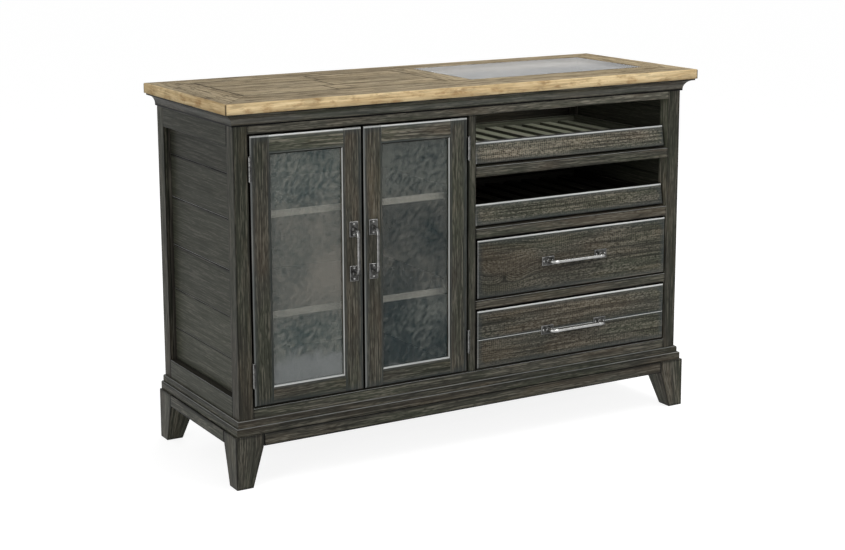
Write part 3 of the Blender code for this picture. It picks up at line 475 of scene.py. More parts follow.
def make_piece(name, surfaces, finish, stands_for, body="root", crease=38):
    """Object from one or more surfaces, with its finish, standing for a CAD node and riding on its body."""
    whole = joined(surfaces if isinstance(surfaces, list) else [surfaces])
    mesh = bpy.data.meshes.new(name)
    corners = np.concatenate([whole["quads"].ravel(), *whole["caps"]]).astype(np.int32)
    sizes = np.concatenate([np.full(len(whole["quads"]), 4), [len(c) for c in whole["caps"]]]).astype(int)
    mesh.vertices.add(len(whole["points"]))
    mesh.vertices.foreach_set("co", whole["points"].astype(np.float32).ravel())
    mesh.loops.add(len(corners))
    mesh.loops.foreach_set("vertex_index", corners)
    mesh.polygons.add(len(sizes))
    mesh.polygons.foreach_set("loop_start", (np.cumsum(sizes) - sizes).astype(np.int32))
    for label in ("grain", "marks"):
        layer = mesh.attributes.new(label, "FLOAT_VECTOR", "POINT")
        layer.data.foreach_set("vector", whole[label].astype(np.float32).ravel())
    mesh.update(calc_edges=True)
    mesh.shade_smooth()
    mesh.set_sharp_from_angle(angle=math.radians(crease))
    mesh.materials.append(finish)
    piece = bpy.data.objects.new(name, mesh)
    scene.collection.objects.link(piece)
    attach(piece, body)
    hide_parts(stands_for)


# %% [markdown]
# ## The case finish
# The case is pine stained a charcoal brown, under a satin lacquer. Broad streaks follow the grain, finer ones
# and dark pores lie between them, and brown wood shows through here and there. Most boards were planed and have
# long, fine fibres. The fronts of the drawers and trays were left sawn: theirs are shorter, with faint bars across.
# All of it is noise stretched along the grain, read from each board's own coordinates.
# %% Case wood
WANDER, BROAD, HUES, PATCHES = (1.6, 7.0, 7.0), (2.0, 40.0, 40.0), (2.6, 11.0, 11.0), (5.0, 16.0, 16.0)
SAWN_GRAIN = (6.0, 270.0, 270.0), (130.0, 360.0, 360.0)
PLANED_GRAIN = (9.0, 300.0, 300.0), (48.0, 380.0, 380.0)
SAW_PITCH = 0.0064
SATIN_SPECULAR, SATIN_COAT_ROUGHNESS, DULL_SPECULAR = 0.06, 0.22, 0.008


def attribute(tree, label):
    """Vector that each point of the piece carries under this name."""
    return add_node(tree, "Attribute", attribute_name=label).outputs["Vector"]


def bent(tree, place, reach):
    """Grain that wanders: soft noise pushes the place sideways, but not along."""
    sway = noise(tree, place, WANDER, detail=2.0, output="Color")
    aside = vector_maths(tree, "SUBTRACT", sway, (0.5, 0.5, 0.5))
    return vector_maths(tree, "ADD", place, vector_maths(tree, "MULTIPLY", aside, (0.0, reach, reach)))


def saw_bars(tree, place, pitch):
    """Bars across the grain where the saw passed, strong in some patches and gone in others."""
    drift = noise(tree, place, (9.0, 30.0, 30.0))
    turn = weighed(tree, (parts_of(tree, place)[0], 2 * math.pi / pitch), (drift, 14.0))
    bars = spread(tree, maths(tree, "SINE", turn), -0.1, 0.9)
    patch = spread(tree, noise(tree, place, (5.0, 14.0, 14.0), detail=2.0), 0.42, 0.60)
    return times(tree, bars, patch)


CHARCOAL, UMBER = (0.014, 0.014, 0.011), (0.061, 0.059, 0.047)
RUSSET, MOSS = (0.074, 0.063, 0.047), (0.055, 0.058, 0.042)
TAN, SAWN = (0.162, 0.150, 0.119), (0.174, 0.148, 0.107)
AMBER = (0.122, 0.098, 0.062)
# pale colours of a painted highlight: on polished arrises, and on the shelves' front edges
HIGHLIGHT_PALE, SHELF_HIGHLIGHT_PALE = (0.62, 0.635, 0.62), (0.86, 0.82, 0.70)
RIM_DARK, RIM_BLUE, RUBBED = (0.0050, 0.0050, 0.0042), (0.040, 0.048, 0.049), (0.20, 0.185, 0.15)


def lifted(colour, lift=1.0):
    """Colour with four parts, times the lift."""
    return [part * lift for part in colour] + [1.0]


def case_wood(name, lift=1.0, brown=1.0, saw=0.0, gloss=0.42, rim=RIM_DARK, contrast=1.0, moss=0.0,
              coat=0.05, highlight_colour=HIGHLIGHT_PALE):
    """Charcoal stained pine. Lift makes it paler, brown, saw and contrast say how strongly these show, moss
    turns its hue from brown towards green, rim is the colour of its arrises, and the last argument is the pale
    colour of the highlight painted where they are polished."""
    made, tree, shader = new_finish(name)
    place = attribute(tree, "grain")
    curved = bent(tree, place, 0.010)
    broad = noise(tree, curved, BROAD, roughness=0.6)
    fine_scale, fleck_scale = SAWN_GRAIN if saw else PLANED_GRAIN
    fine = noise(tree, curved, fine_scale, detail=2.0, roughness=0.6)
    flecks = noise(tree, curved, fleck_scale, detail=1.0, roughness=0.5)
    patch = noise(tree, place, PATCHES, roughness=0.6)
    hue = noise(tree, place, HUES, detail=2.0)
    colour = blend(tree, spread(tree, hue, 0.50 - moss, 0.60 - moss), lifted(UMBER, lift), lifted(MOSS, lift))
    colour = blend(tree, spread(tree, hue, 0.48 - moss, 0.40 - moss, 0.0, min(1.0, contrast)), colour,
                   lifted(RUSSET, lift))
    streak = weighed(tree, (broad, 0.3), (fine, 0.7))
    warm = spread(tree, weighed(tree, (patch, 0.7), (fine, 0.3)), 0.53, 0.66, 0.0, 0.42 * brown)
    colour = blend(tree, warm, colour, lifted(AMBER, lift))
    speck = 0.5 if saw else 0.3
    pale = spread(tree, weighed(tree, (fine, 1 - speck), (flecks, speck)), 0.52, 0.62, 0.0, 0.75 * contrast)
    colour = blend(tree, pale, colour, lifted(TAN, lift))
    dark = spread(tree, streak, 0.50, 0.37, 0.0, 0.66 * contrast)
    colour = blend(tree, dark, colour, lifted(CHARCOAL, lift))
    height = weighed(tree, (fine, 0.6), (flecks, 0.5))
    if saw:
        bars = saw_bars(tree, place, SAW_PITCH)
        share = times(tree, bars, spread(tree, fine, 0.38, 0.62, 0.12, 0.62 * saw))
        colour = blend(tree, share, colour, lifted(SAWN, lift))
        height = weighed(tree, (height, 1.0), (bars, 0.6 * saw))
    pores = spread(tree, flecks, 0.44, 0.32, 0.0, (0.55 if saw else 0.40) * contrast)
    colour = blend(tree, pores, colour, lifted(CHARCOAL, 0.4))
    marks = parts_of(tree, attribute(tree, "marks"))
    colour = rim_and_tone(tree, colour, marks, fine, patch, rim, highlight_colour)
    polish_and_highlight = maths(tree, "MAXIMUM", marks[2], 0.0)
    rough = spread(tree, streak, 0.35, 0.65, gloss + 0.08, gloss - 0.05)
    rough = maths(tree, "SUBTRACT", rough, times(tree, polish_and_highlight, 0.22))
    height = times(tree, height, spread(tree, polish_and_highlight, 0.0, 0.6, 1.0, 0.15))
    fill(tree, shader, {"Base Color": colour, "Roughness": rough, "Normal": bumped(tree, height, 0.30, 0.0006),
                        "Specular IOR Level": SATIN_SPECULAR, "Coat Weight": coat,
                        "Coat Roughness": SATIN_COAT_ROUGHNESS})
    return made


def rim_and_tone(tree, colour, marks, fine, patch, rim, highlight_colour):
    """Darker towards each arris, rubbed through on it in places, with a painted highlight where it is polished,
    nearly black where shade is painted on edge faces and in recesses, and in knots, and the whole board paler or
    darker by its tone."""
    near, tone, polish_and_highlight = marks
    colour = blend(tree, spread(tree, near, 0.20, 0.90, 0.0, 0.80), colour, lifted(rim))
    rub = weighed(tree, (near, 1.0), (fine, 1.1), (patch, 0.9))
    colour = blend(tree, spread(tree, rub, 1.85, 2.25, 0.0, 0.6), colour, lifted(RUBBED))
    # painted highlight where the arris is polished
    bright = times(tree, polish_and_highlight, spread(tree, fine, 0.3, 0.5, 0.75, 1.0), clamp=True)
    colour = blend(tree, bright, colour, lifted(highlight_colour))
    # painted shade where the nearness is above 1, and the dark core of a knot
    dark = maths(tree, "MAXIMUM", spread(tree, near, 1.02, 1.5), spread(tree, polish_and_highlight, 0.0, -1.0, 0.0, 0.85))
    return shaded(tree, blend(tree, dark, colour, lifted(CHARCOAL, 0.12)), tone)


case_finish = case_wood("case_pine", lift=0.95, moss=0.02)
post_finish = case_wood("post_pine", lift=0.76, moss=0.04, contrast=0.9, coat=0.02)
door_finish = case_wood("door_pine", brown=1.1, rim=RIM_BLUE)
front_finish = case_wood("front_pine", lift=0.96, brown=1.0, saw=1.0, rim=RIM_BLUE, contrast=1.1)
leaning_finish = case_wood("leaning_pine", lift=1.5, brown=1.0, saw=1.2, rim=RIM_BLUE, contrast=1.1)
side_finish = case_wood("side_pine", lift=0.86, brown=0.2, contrast=0.5, moss=0.22, coat=0.02)
inner_finish = case_wood("inner_pine", lift=0.9, gloss=0.60, contrast=0.4)
# a shaded copy of the inner wood, much darker, for the lower tray, which lies in shadow
shadowed_finish = case_wood("shadowed_pine", lift=0.22, gloss=0.60, contrast=0.4)
# a lit copy of the inner wood, paler, for the upper tray's box under the window
lit_rack_finish = case_wood("lit_rack_pine", lift=1.6, brown=0.0, gloss=0.60, contrast=0.3, moss=0.2)
lining_finish = case_wood("lining_pine", lift=2.2, brown=0.0, gloss=0.60, contrast=0.05)
shelf_finish = case_wood("shelf_pine", lift=1.2, brown=0.3, gloss=0.40, rim=RIM_BLUE, contrast=0.4,
                         highlight_colour=SHELF_HIGHLIGHT_PALE)
# a lit copy, paler still, for the upper tray's slats
lit_slat_finish = case_wood("lit_slat_pine", lift=3.5, brown=0.0, gloss=0.50, contrast=0.3, moss=0.2)
print("case finishes:", [m.name for m in bpy.data.materials if "pine" in m.name])

# %% [markdown]
# ## The top board
# Its boards are reclaimed looking pine: greyed brown on top, with dark checks, and rubbed to golden wood at the
# rim. Here the first mark says how bare a point is rubbed, and the third how near it is to a seam.
# %% Top wood
GREYED, DUSTY = ((0.135, 0.100, 0.057), (0.43, 0.350, 0.220)), (0.245, 0.205, 0.140)
GOLDEN, HONEY = ((0.40, 0.27, 0.125), (0.78, 0.62, 0.37)), (0.30, 0.165, 0.065)
CHECK_BROWN, SEAM_BROWN = (0.050, 0.034, 0.018), (0.030, 0.020, 0.011)


def top_wood(name):
    """Weathered tan pine: grey and golden, both streaked, with checks, seams and honey coloured stains."""
    made, tree, shader = new_finish(name)
    place = attribute(tree, "grain")
    curved = bent(tree, place, 0.03)
    broad = noise(tree, curved, (2.0, 26.0, 26.0), detail=4.0, roughness=0.62)
    fine = noise(tree, curved, (8.0, 180.0, 180.0), detail=4.0, roughness=0.7)
    patch = noise(tree, place, (7.0, 13.0, 13.0), detail=4.0, roughness=0.6)
    checks = noise(tree, curved, (15.0, 110.0, 110.0), roughness=0.7)
    checks = spread(tree, checks, 0.52, 0.62)
    streak = weighed(tree, (broad, 0.4), (fine, 0.6))
    grey = blend(tree, spread(tree, streak, 0.38, 0.60), *map(lifted, GREYED))
    grey = blend(tree, spread(tree, patch, 0.42, 0.68, 0.0, 0.5), grey, lifted(DUSTY))
    gold = blend(tree, spread(tree, streak, 0.34, 0.62), *map(lifted, GOLDEN))
    stain = noise(tree, place, (22.0, 45.0, 45.0), detail=4.0, roughness=0.65)
    stain = weighed(tree, (stain, 0.7), (patch, 0.3))
    gold = blend(tree, spread(tree, stain, 0.53, 0.63, 0.0, 0.60), gold, lifted(HONEY))
    wear_and_highlight, tone, seam = parts_of(tree, attribute(tree, "marks"))
    bare = spread(tree, weighed(tree, (wear_and_highlight, 1.0), (patch, 0.7)), 0.70, 1.05)
    checks = times(tree, checks, spread(tree, bare, 0.0, 1.0, 0.75, 0.25))
    colour = blend(tree, checks, blend(tree, bare, grey, gold), lifted(CHECK_BROWN))
    seam = spread(tree, weighed(tree, (seam, 1.0), (fine, 0.5)), 0.45, 1.0, 0.0, 0.85)
    colour = shaded(tree, blend(tree, seam, colour, lifted(SEAM_BROWN)), tone)
    fill(tree, shader, {"Base Color": colour, "Roughness": spread(tree, streak, 0.3, 0.7, 0.80, 0.66),
                        "Normal": bumped(tree, maths(tree, "SUBTRACT", fine, checks), 0.5, 0.0008),
                        "Specular IOR Level": DULL_SPECULAR})
    return made


top_finish = top_wood("top_pine")

# %% [markdown]
# Four boards make the rim, mitred at the corners, and a fifth divides the planks from the display window.
# Each is first made straight, and then its ends are slid along by how far in from the outer edge a point lies.
# %% Rim boards
top_low, top_high = corners_of("top_border")
plank_low, plank_high = corners_of("top_planks")
pane_low, pane_high = corners_of("top_glass")
SEAM, TOP_ROUND, BARE_REACH = 0.0003, 0.0035, 0.007
EDGE_DEPTHS, FRONT_EDGE_TONES, SIDE_EDGE_TONES = [0.0, 0.15, 0.5, 1.0], [0.0, 0.8, 1.2, -2.5], [0.0, 0.0, 0.3, -2.0]
inner_low = np.array([plank_low[0], plank_low[1], top_low[2]]) - SEAM
inner_high = np.array([pane_high[0], plank_high[1], top_high[2]]) + SEAM


def mitred(shape, run, across, outer, inner, slide_low, slide_high):
    """Points slid along the run by the share of the board's width that they lie in from its outer edge."""
    share = (shape[:, across] - outer) / (inner - outer)
    span = shape[:, run].max() - shape[:, run].min()
    t = (shape[:, run] - shape[:, run].min()) / span
    slid = shape.copy()
    slid[:, run] += share * (slide_low * (1 - t) - slide_high * t)
    return slid


def planed_waves(u, v, inset):
    """Planed unevenness: long waves along the board and shorter ones across, up to a third of a millimetre."""
    waves = np.sin(u * 14 + v * 9) * np.sin(v * 71 + u * 3) + np.sin(u * 37 - v * 52 + 1.1)
    return 0.00009 * (2 + waves) * np.clip(inset / 0.01, 0, 1)


def seam_mark(distance):
    """1 on a seam, fading to 0 a few millimetres away."""
    return np.clip(1 - distance / reach_of(0.0), 0, 1)


def rim_board(side):
    """Mitred rim board, rounded at its outer edge and only just eased at its seams. Its edge face is paler half
    way down and dark at the foot."""
    run, across = (0, 1) if side in ("front", "back") else (1, 0)
    first = side in ("front", "left")
    low, high = top_low.copy(), top_high.copy()
    if first:
        outer, inner = top_low[across], inner_low[across]
        high[across] = inner
    else:
        outer, inner = top_high[across], inner_high[across]
        low[across] = inner
    slides = (inner_low[run] - top_low[run], top_high[run] - inner_high[run])
    rims = [0.0006] * 4
    rims[2 * across + (0 if first else 1)] = TOP_ROUND
    board = relief_board(low, high, "top", rims, (0.02, 0.02), planed_waves, "xy"[run],
                         lambda shape: mitred(shape, run, across, outer, inner, *slides))
    points = board["points"]
    share = (points[:, across] - outer) / (inner - outer)
    from_mitre = np.minimum(points[:, run] - top_low[run] - share * slides[0],
                            top_high[run] - points[:, run] - share * slides[1])
    board["marks"][:, 0] = np.clip(1 - np.abs(points[:, across] - outer) / BARE_REACH, 0, 1)
    mitre = seam_mark(from_mitre) * np.where(points[:, 2] > top_high[2] - 0.0015, 0.45, 1.0)
    board["marks"][:, 2] = np.maximum(mitre, seam_mark(np.abs(points[:, across] - inner)))
    down = (top_high[2] - points[:, 2]) / (top_high[2] - top_low[2])
    edge_tones = FRONT_EDGE_TONES if side == "front" else SIDE_EDGE_TONES
    board["marks"][:, 1] = 0.4 * board["marks"][:, 1] + np.interp(down, EDGE_DEPTHS, edge_tones)
    return board


for side in ("front", "back", "left", "right"):
    make_piece("top_rim_" + side, rim_board(side), top_finish, stands_for="top_border")


def flat_board(low, high, along="x", rims=0.0006):
    """Board of the top surface with eased, dark seams and no bare rim."""
    low, high = np.array(low, float), np.array(high, float)
    board = relief_board(low, high, "top", rims, (0.02, 0.02), planed_waves, along)
    inset = np.minimum(board["points"] - low, high - board["points"])[:, :2].min(axis=1)
    board["marks"][:, 0] = 0.0
    board["marks"][:, 2] = 0.85 * seam_mark(inset)
    return board


divider = flat_board((plank_high[0] + SEAM, plank_low[1] - SEAM / 2, top_low[2]),
                     (pane_low[0] - SEAM, plank_high[1] + SEAM / 2, top_high[2]), along="y")
make_piece("top_divider_board", divider, top_finish, stands_for="top_border")

# %% [markdown]
# The field on the left is three rows of planks, butted end to end at a different place in each row.
# %% Planks
ROW_SHARES = (0.0, 0.30, 0.69, 1.0)
BUTT_SHARES = (0.45, 0.51, 0.54)
depth = plank_high[1] - plank_low[1]
planks = []
for near, far, butt in zip(ROW_SHARES, ROW_SHARES[1:], BUTT_SHARES):
    y0, y1 = plank_low[1] + near * depth, plank_low[1] + far * depth
    middle = plank_low[0] + butt * (plank_high[0] - plank_low[0])
    for x0, x1 in ((plank_low[0], middle), (middle, plank_high[0])):
        planks.append(flat_board((x0, y0, top_low[2]), (x1, y1, top_high[2]), rims=0.0011))
make_piece("top_plank_field", planks, top_finish, stands_for="top_planks")

# %% [markdown]
# The pane of the display window is let in flush between the rim boards. The doors' panes share its kind of glass.
# %% Glass finish and the pane
SLANT, STRETCH, FADE_MARGIN = 0.70, 1.7, 0.12
BELT_WAVES, OPEN_WAVES, FILM_RANGE = 0.36, 0.60, (0.125, 0.325)
BLUER = (0.93, 1.02, 1.05, 1.0)
# the last two are painted: a pale, warm reflection on the back of the window, and a shadow line along its rim
PALE_FOOT, BACK_REFLECTION, RIM_SHADOW = (0.27, 0.29, 0.29, 1.0), (0.44, 0.42, 0.37, 1.0), (0.02, 0.02, 0.02, 1.0)
GLASS_IOR, GLASS_SPECULAR = 1.52, 0.5


def glass_film(tree, place, broad, cloud, ripple, belt, fade, bulge):
    """How thick the film is, and how far outside the belt a point lies, both from 0 to 1."""
    waves = maths(tree, "SUBTRACT", weighed(tree, (cloud, 0.2), (ripple, 0.8)), 0.5)
    strength, outside, changes = OPEN_WAVES, None, ()
    if belt:
        middle, half = belt
        height = parts_of(tree, place)[2]
        off = maths(tree, "ABSOLUTE", maths(tree, "SUBTRACT", height, middle))
        outside = spread(tree, weighed(tree, (off, 1.0), (broad, 0.12)), half + 0.03, half + 0.10)
        strength = spread(tree, outside, 0.0, 1.0, BELT_WAVES, OPEN_WAVES)
        reach = half + FADE_MARGIN
        gain = spread(tree, height, middle - reach, middle + reach, *fade)
        changes = (outside, -bulge), (gain, 1.0)
    film = weighed(tree, (broad, 0.45), (waves, strength), *changes)
    return spread(tree, film, *FILM_RANGE), outside


def old_glass(name, thin, thick, clear, grazing, foot=None, behind=None, belt=None, fade=(0.0, 0.0), bulge=0.0):
    """Grey seeded glass: mostly clear, with a film in slanting ripples, less clear at a low angle. Where a foot
    height is given the film is paler below it, and where a depth is given a painted reflection, paler and
    warmer, lies behind it, with a painted shadow line at its rim. A belt, the middle and half of a span of
    heights, is calmer and less blue than the glass above and below. Fade is what the film gains at the foot and
    at the top, and bulge what it loses outside the belt."""
    made, tree, shader = new_finish(name)
    place = object_place(tree)
    slanted = add_node(tree, "Mapping", {"Vector": place, "Rotation": (0.0, SLANT, 0.0),
                                         "Scale": (1.0, 1.0, STRETCH)}, vector_type="TEXTURE").outputs[0]
    broad = noise(tree, place, (5.0, 5.0, 5.0), detail=2.0)
    cloud = noise(tree, slanted, (40.0, 40.0, 40.0), detail=4.0, roughness=0.62)
    ripple = noise(tree, slanted, (105.0, 105.0, 105.0), detail=1.0, roughness=0.6)
    film, outside = glass_film(tree, place, broad, cloud, ripple, belt, fade, bulge)
    colour = blend(tree, film, [*thin, 1.0], [*thick, 1.0])
    if belt:
        colour = blend(tree, outside, colour, BLUER, "MULTIPLY")
    facing = add_node(tree, "LayerWeight", {"Blend": 0.5}).outputs["Facing"]
    at_low_angle = times(tree, maths(tree, "POWER", facing, 3.0), grazing)
    solid = maths(tree, "ADD", spread(tree, film, 0.0, 1.0, 1 - clear - 0.06, 1 - clear + 0.06), at_low_angle, True)
    if foot:
        wavy = weighed(tree, (parts_of(tree, place)[2], 1.0), (broad, 0.10), (cloud, 0.06))
        pale = spread(tree, wavy, foot + 0.085, foot + 0.070)
        colour = blend(tree, times(tree, pale, 0.8), colour, PALE_FOOT)
    if behind is not None:
        deep = weighed(tree, (parts_of(tree, place)[1], 1.0), (broad, 0.08))
        # painted reflection behind the given depth, and a painted shadow line at the pane's rim
        colour = blend(tree, times(tree, spread(tree, deep, behind + 0.02, behind + 0.06), 0.85), colour, BACK_REFLECTION)
        near = parts_of(tree, attribute(tree, "marks"))[0]
        colour = blend(tree, spread(tree, near, 0.5, 0.9, 0.0, 0.8), colour, RIM_SHADOW)
    rough = spread(tree, cloud, 0.3, 0.7, 0.03, 0.12)
    fill(tree, shader, {"Base Color": colour, "Alpha": solid, "Roughness": rough, "IOR": GLASS_IOR,
                        "Specular IOR Level": GLASS_SPECULAR, "Normal": bumped(tree, broad, 0.10, 0.004)})
    return made


pane_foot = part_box("door_left_glass")[0].z
shelf_heights = [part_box(shelf)[1].z for shelf in ("shelf_lower", "shelf_upper")]
belt = (sum(shelf_heights) / 2, (shelf_heights[1] - shelf_heights[0]) / 2)
left_glass = old_glass("left_door_glass", (0.060, 0.088, 0.084), (0.225, 0.215, 0.183), clear=0.60, grazing=0.15,
                       foot=pane_foot + 0.07, belt=belt, fade=(0.058, 0.038), bulge=0.018)
right_glass = old_glass("right_door_glass", (0.030, 0.054, 0.058), (0.195, 0.192, 0.165), clear=0.72, grazing=0.15,
                        foot=pane_foot, belt=belt, fade=(-0.057, 0.050))
window_glass = old_glass("window_glass", (0.085, 0.110, 0.125), (0.26, 0.245, 0.215), clear=0.88, grazing=0.52,
                         behind=0.0)


def glass_waves(u, v, inset):
    """Drawn glass is never flat: three crossed sine waves, a quarter of a millimetre deep in all."""
    waves = np.sin(u * 95 + 2.3 * np.sin(v * 41)) + np.sin(v * 120 + 1.9 * np.sin(u * 63)) + np.sin((u + v) * 57)
    return 0.00004 * (3 + waves)


pane = relief_board(pane_low, pane_high, "top", 0.0006, (0.01, 0.01), glass_waves)
make_piece("window_pane", pane, window_glass, stands_for="top_glass")

# %% [markdown]
# ## Mouldings
# The crown under the top and the ledges over the base run round the left side, the front and the right side.
# Each length is its own stick, mitred at the front corners, with its grain along it.
# So one section is carried from mitre to mitre for each side.
# %% Crown and ledges
MOULDING_STATIONS = 60
LEFT_X, FRONT_Y = corners_of("post_front_left")[0][:2]
RIGHT_X, BACK_Y = -LEFT_X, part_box("post_back_left")[1].y


def arc(centre, radii, start, end, steps):
    """Points of a part of an ellipse, from one angle to another in degrees, as pairs of reach and height."""
    t = np.radians(np.linspace(start, end, steps + 1))
    return np.stack([centre[0] + radii[0] * np.cos(t), centre[1] + radii[1] * np.sin(t)], -1)


def moulding(side, section, wear_and_shade, polish_and_highlight):
    """A section of (reach, height) points carried along one side; its ends stop on the mitres or at the back."""
    reach, height = section.T
    t = np.linspace(0, 1, MOULDING_STATIONS)[:, None]
    if side == "front":
        x = (LEFT_X - reach) + t * (RIGHT_X - LEFT_X + 2 * reach)
        y = np.broadcast_to(FRONT_Y - reach, x.shape)
    else:
        y = (FRONT_Y - reach) + t * (BACK_Y - FRONT_Y + reach)
        x = np.broadcast_to(LEFT_X - reach if side == "left" else RIGHT_X + reach, y.shape)
    z = np.broadcast_to(height, x.shape)
    return swept(np.stack([x, y, z], -1), "x" if side == "front" else "y", wear_and_shade, polish_and_highlight)


crown_low, crown_high = corners_of("crown_moulding")
CROWN_REACH = LEFT_X - crown_low[0]
STEP_REACH, STEP_H, LIP_H = 0.0045, 0.0035, 0.0045
cove_size = (-(CROWN_REACH - STEP_REACH), crown_high[2] - crown_low[2] - STEP_H - LIP_H)
cove = arc((CROWN_REACH, crown_low[2] + STEP_H), cove_size, 0, 90, 16)
crown_section = np.concatenate([
    [(SEAM, crown_low[2])], arc((STEP_REACH - 0.001, crown_low[2] + 0.001), (0.001, 0.001), -90, 0, 4),
    [(STEP_REACH, crown_low[2] + STEP_H)], cove[1:],
    [(CROWN_REACH, crown_high[2]), (SEAM, crown_high[2])]])
crown_shade, crown_highlight = np.zeros((2, len(crown_section)))
# painted shade: a shadow line on the step below the cove and on the lip under the top board; a faint painted
# highlight on the lower cove
crown_shade[:7] = GAP_SHADE  # the small step below the cove
crown_shade[-3:] = 0.9  # the lip above it
crown_highlight[8:13] = 0.05  # the lower part of the cove itself
# painted light and shade by side: the front paler, the left side darker
CROWN_SIDE_LIGHT = {"front": 0.8, "left": -2.8, "right": 0.0}
for side, tone in CROWN_SIDE_LIGHT.items():
    crown = toned(moulding(side, crown_section, crown_shade, crown_highlight), tone)
    make_piece("crown_" + side, crown, post_finish, stands_for="crown_moulding", crease=30)

ledge_low, ledge_high = corners_of("base_ledges")
LOWER_REACH, UPPER_REACH, LEDGE_R = 0.012, 0.006, 0.004
LOWER_TOP = ledge_high[2] - 0.0165
ledge_section = np.concatenate([
    [(SEAM, ledge_low[2]), (LOWER_REACH, ledge_low[2])],
    arc((LOWER_REACH - LEDGE_R, LOWER_TOP - LEDGE_R), (LEDGE_R, LEDGE_R), 0, 90, 6),
    [(UPPER_REACH, LOWER_TOP)],
    arc((UPPER_REACH - LEDGE_R, ledge_high[2] - LEDGE_R), (LEDGE_R, LEDGE_R), 0, 90, 6),
    [(SEAM, ledge_high[2])]])
ledge_worn, ledge_highlight = np.zeros((2, len(ledge_section)))
ledge_worn[2:9] = ledge_worn[10:17] = 0.7  # the two quarter rounds
# painted highlight on the crest of each quarter round
ledge_highlight[5:7] = ledge_highlight[13:15] = 0.28  # the crest of each
for side in ("front", "left", "right"):
    make_piece("ledge_" + side, moulding(side, ledge_section, ledge_worn, ledge_highlight), case_finish,
               stands_for="base_ledges", crease=30)
shown = [o.name for o in scene.objects if not o.hide_render]
print("mouldings:", [name for name in shown if name.startswith(("crown_", "ledge_"))])

# %% [markdown]
# ## Plain boards of the case
# Posts, rails, shelves and the back are boards with eased arrises. Each takes its place from its CAD node.
# %% Posts, rails and inside boards
# directions in which an arris points to get a painted highlight: up and to the front, up and to the left
UPPER_FRONT, UPPER_LEFT = (0, -0.707, 0.707), (-0.707, 0, 0.707)
TOP_RAIL_TONES = [-0.6, 0.0, 0.3, 0.6], [3.0, 3.0, 6.0, 9.0]
POST_TONE, RIGHT_POST_TONE, RIGHT_POST_SIDE_LIGHT, SIDE_RAIL_TONE = -1.0, -0.6, 12, -3.2


def board_for(node, along, finish, wear_and_highlight=None, tones=None, dark=None):
    """Rounded board that fills its CAD node's box and stands for it. Tones is one tone, or pairs places along x
    with tones."""
    low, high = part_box(node)
    steps = [0.03 if axis == along else 0.012 for axis in "xyz"]
    board = rounded_board(low, high, ARRIS_R, steps, along, SWAY, wear_and_highlight, dark)
    if tones is not None:
        toned(board, np.interp(board["points"][:, 0], *tones) if isinstance(tones, tuple) else tones)
    make_piece(node + "_board", board, finish, stands_for=node)


board_for("post_front_left", "z", post_finish, tones=POST_TONE)


def back_post(side):
    """Rounded post; on its front face shade is painted towards the recessed panel, less of it near the top."""
    low, high = corners_of("post_back_" + side)
    post = rounded_board(low, high, ARRIS_R, (0.004, 0.012, 0.03), "z", SWAY)
    x, y, z = post["points"].T
    inside = x - low[0] if side == "left" else high[0] - x
    # painted shade on the recess face in front of the panel
    painted_shade = np.interp(inside, [0.007, 0.012], [0.0, SHADED_FACE]) * np.interp(z, [0.60, 0.75], [1.0, 0.72])
    post["marks"][:, 0] = np.where((y < low[1] + 0.0007) & (inside > 0.003), painted_shade, post["marks"][:, 0])
    return post


for side in ("left", "right"):
    make_piece(f"post_back_{side}_board", back_post(side), post_finish, stands_for="post_back_" + side)
# painted light: the right post's left side, inside the opening, is made much paler
right_post_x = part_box("post_front_right")[0].x
board_for("post_front_right", "z", post_finish, tones=([right_post_x + 0.0004, right_post_x + 0.0010],
                                                       [RIGHT_POST_SIDE_LIGHT, RIGHT_POST_TONE]))
# painted highlight on the upper front arris of the face rails
board_for("face_top_rail", "x", case_finish, wear_and_highlight=UPPER_FRONT, tones=TOP_RAIL_TONES)
board_for("face_bottom_rail", "x", case_finish, wear_and_highlight=UPPER_FRONT)
board_for("face_mullion", "z", post_finish)
for side in ("left", "right"):
    board_for("side_top_rail_" + side, "y", side_finish, tones=SIDE_RAIL_TONE)
    # painted highlight on the upper left arris, and painted shade on the top face, in the recess
    board_for("side_bottom_rail_" + side, "y", side_finish, wear_and_highlight=UPPER_LEFT, dark=(0, 0, 1))
# painted light on a shelf's front edge: a pale highlight, strongest behind the left door, and painted shade
# at its right end by the divider, where no highlight is laid at all
SHELF_EDGE_HIGHLIGHT, HIGHLIGHT_FADE, SHADED_END = {"shelf_lower": 0.56, "shelf_upper": 0.68}, 0.05, (0.057, 0.053)
middle_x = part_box("door_left_frame")[1].x
for shelf, edge_highlight in SHELF_EDGE_HIGHLIGHT.items():
    low, high = corners_of(shelf)
    board = rounded_board(low, high, 0.0015, (0.004, 0.012, 0.006), "x")
    x, y = board["points"][:, 0], board["points"][:, 1]
    places = [middle_x - HIGHLIGHT_FADE, middle_x + HIGHLIGHT_FADE, *(high[0] - end for end in SHADED_END)]
    highlight_share = np.interp(x, places, [1.0, edge_highlight, edge_highlight, 0.0])
    board["marks"][:, 2] = highlight_share * (y < low[1] + 0.0012)
    make_piece(shelf + "_board", board, shelf_finish, stands_for=shelf)
board_for("case_floor", "x", inner_finish)

# %% [markdown]
# The feet are corner blocks, upright outside and tapered inside. Each begins as a rounded block as wide as its top,
# and then every point is drawn towards the outer corner by how far down the taper it is.
# %% Feet and base boards
FOOT_H, FOOT_TOP_W, FOOT_TOE_W = 0.1045, 0.076, 0.045


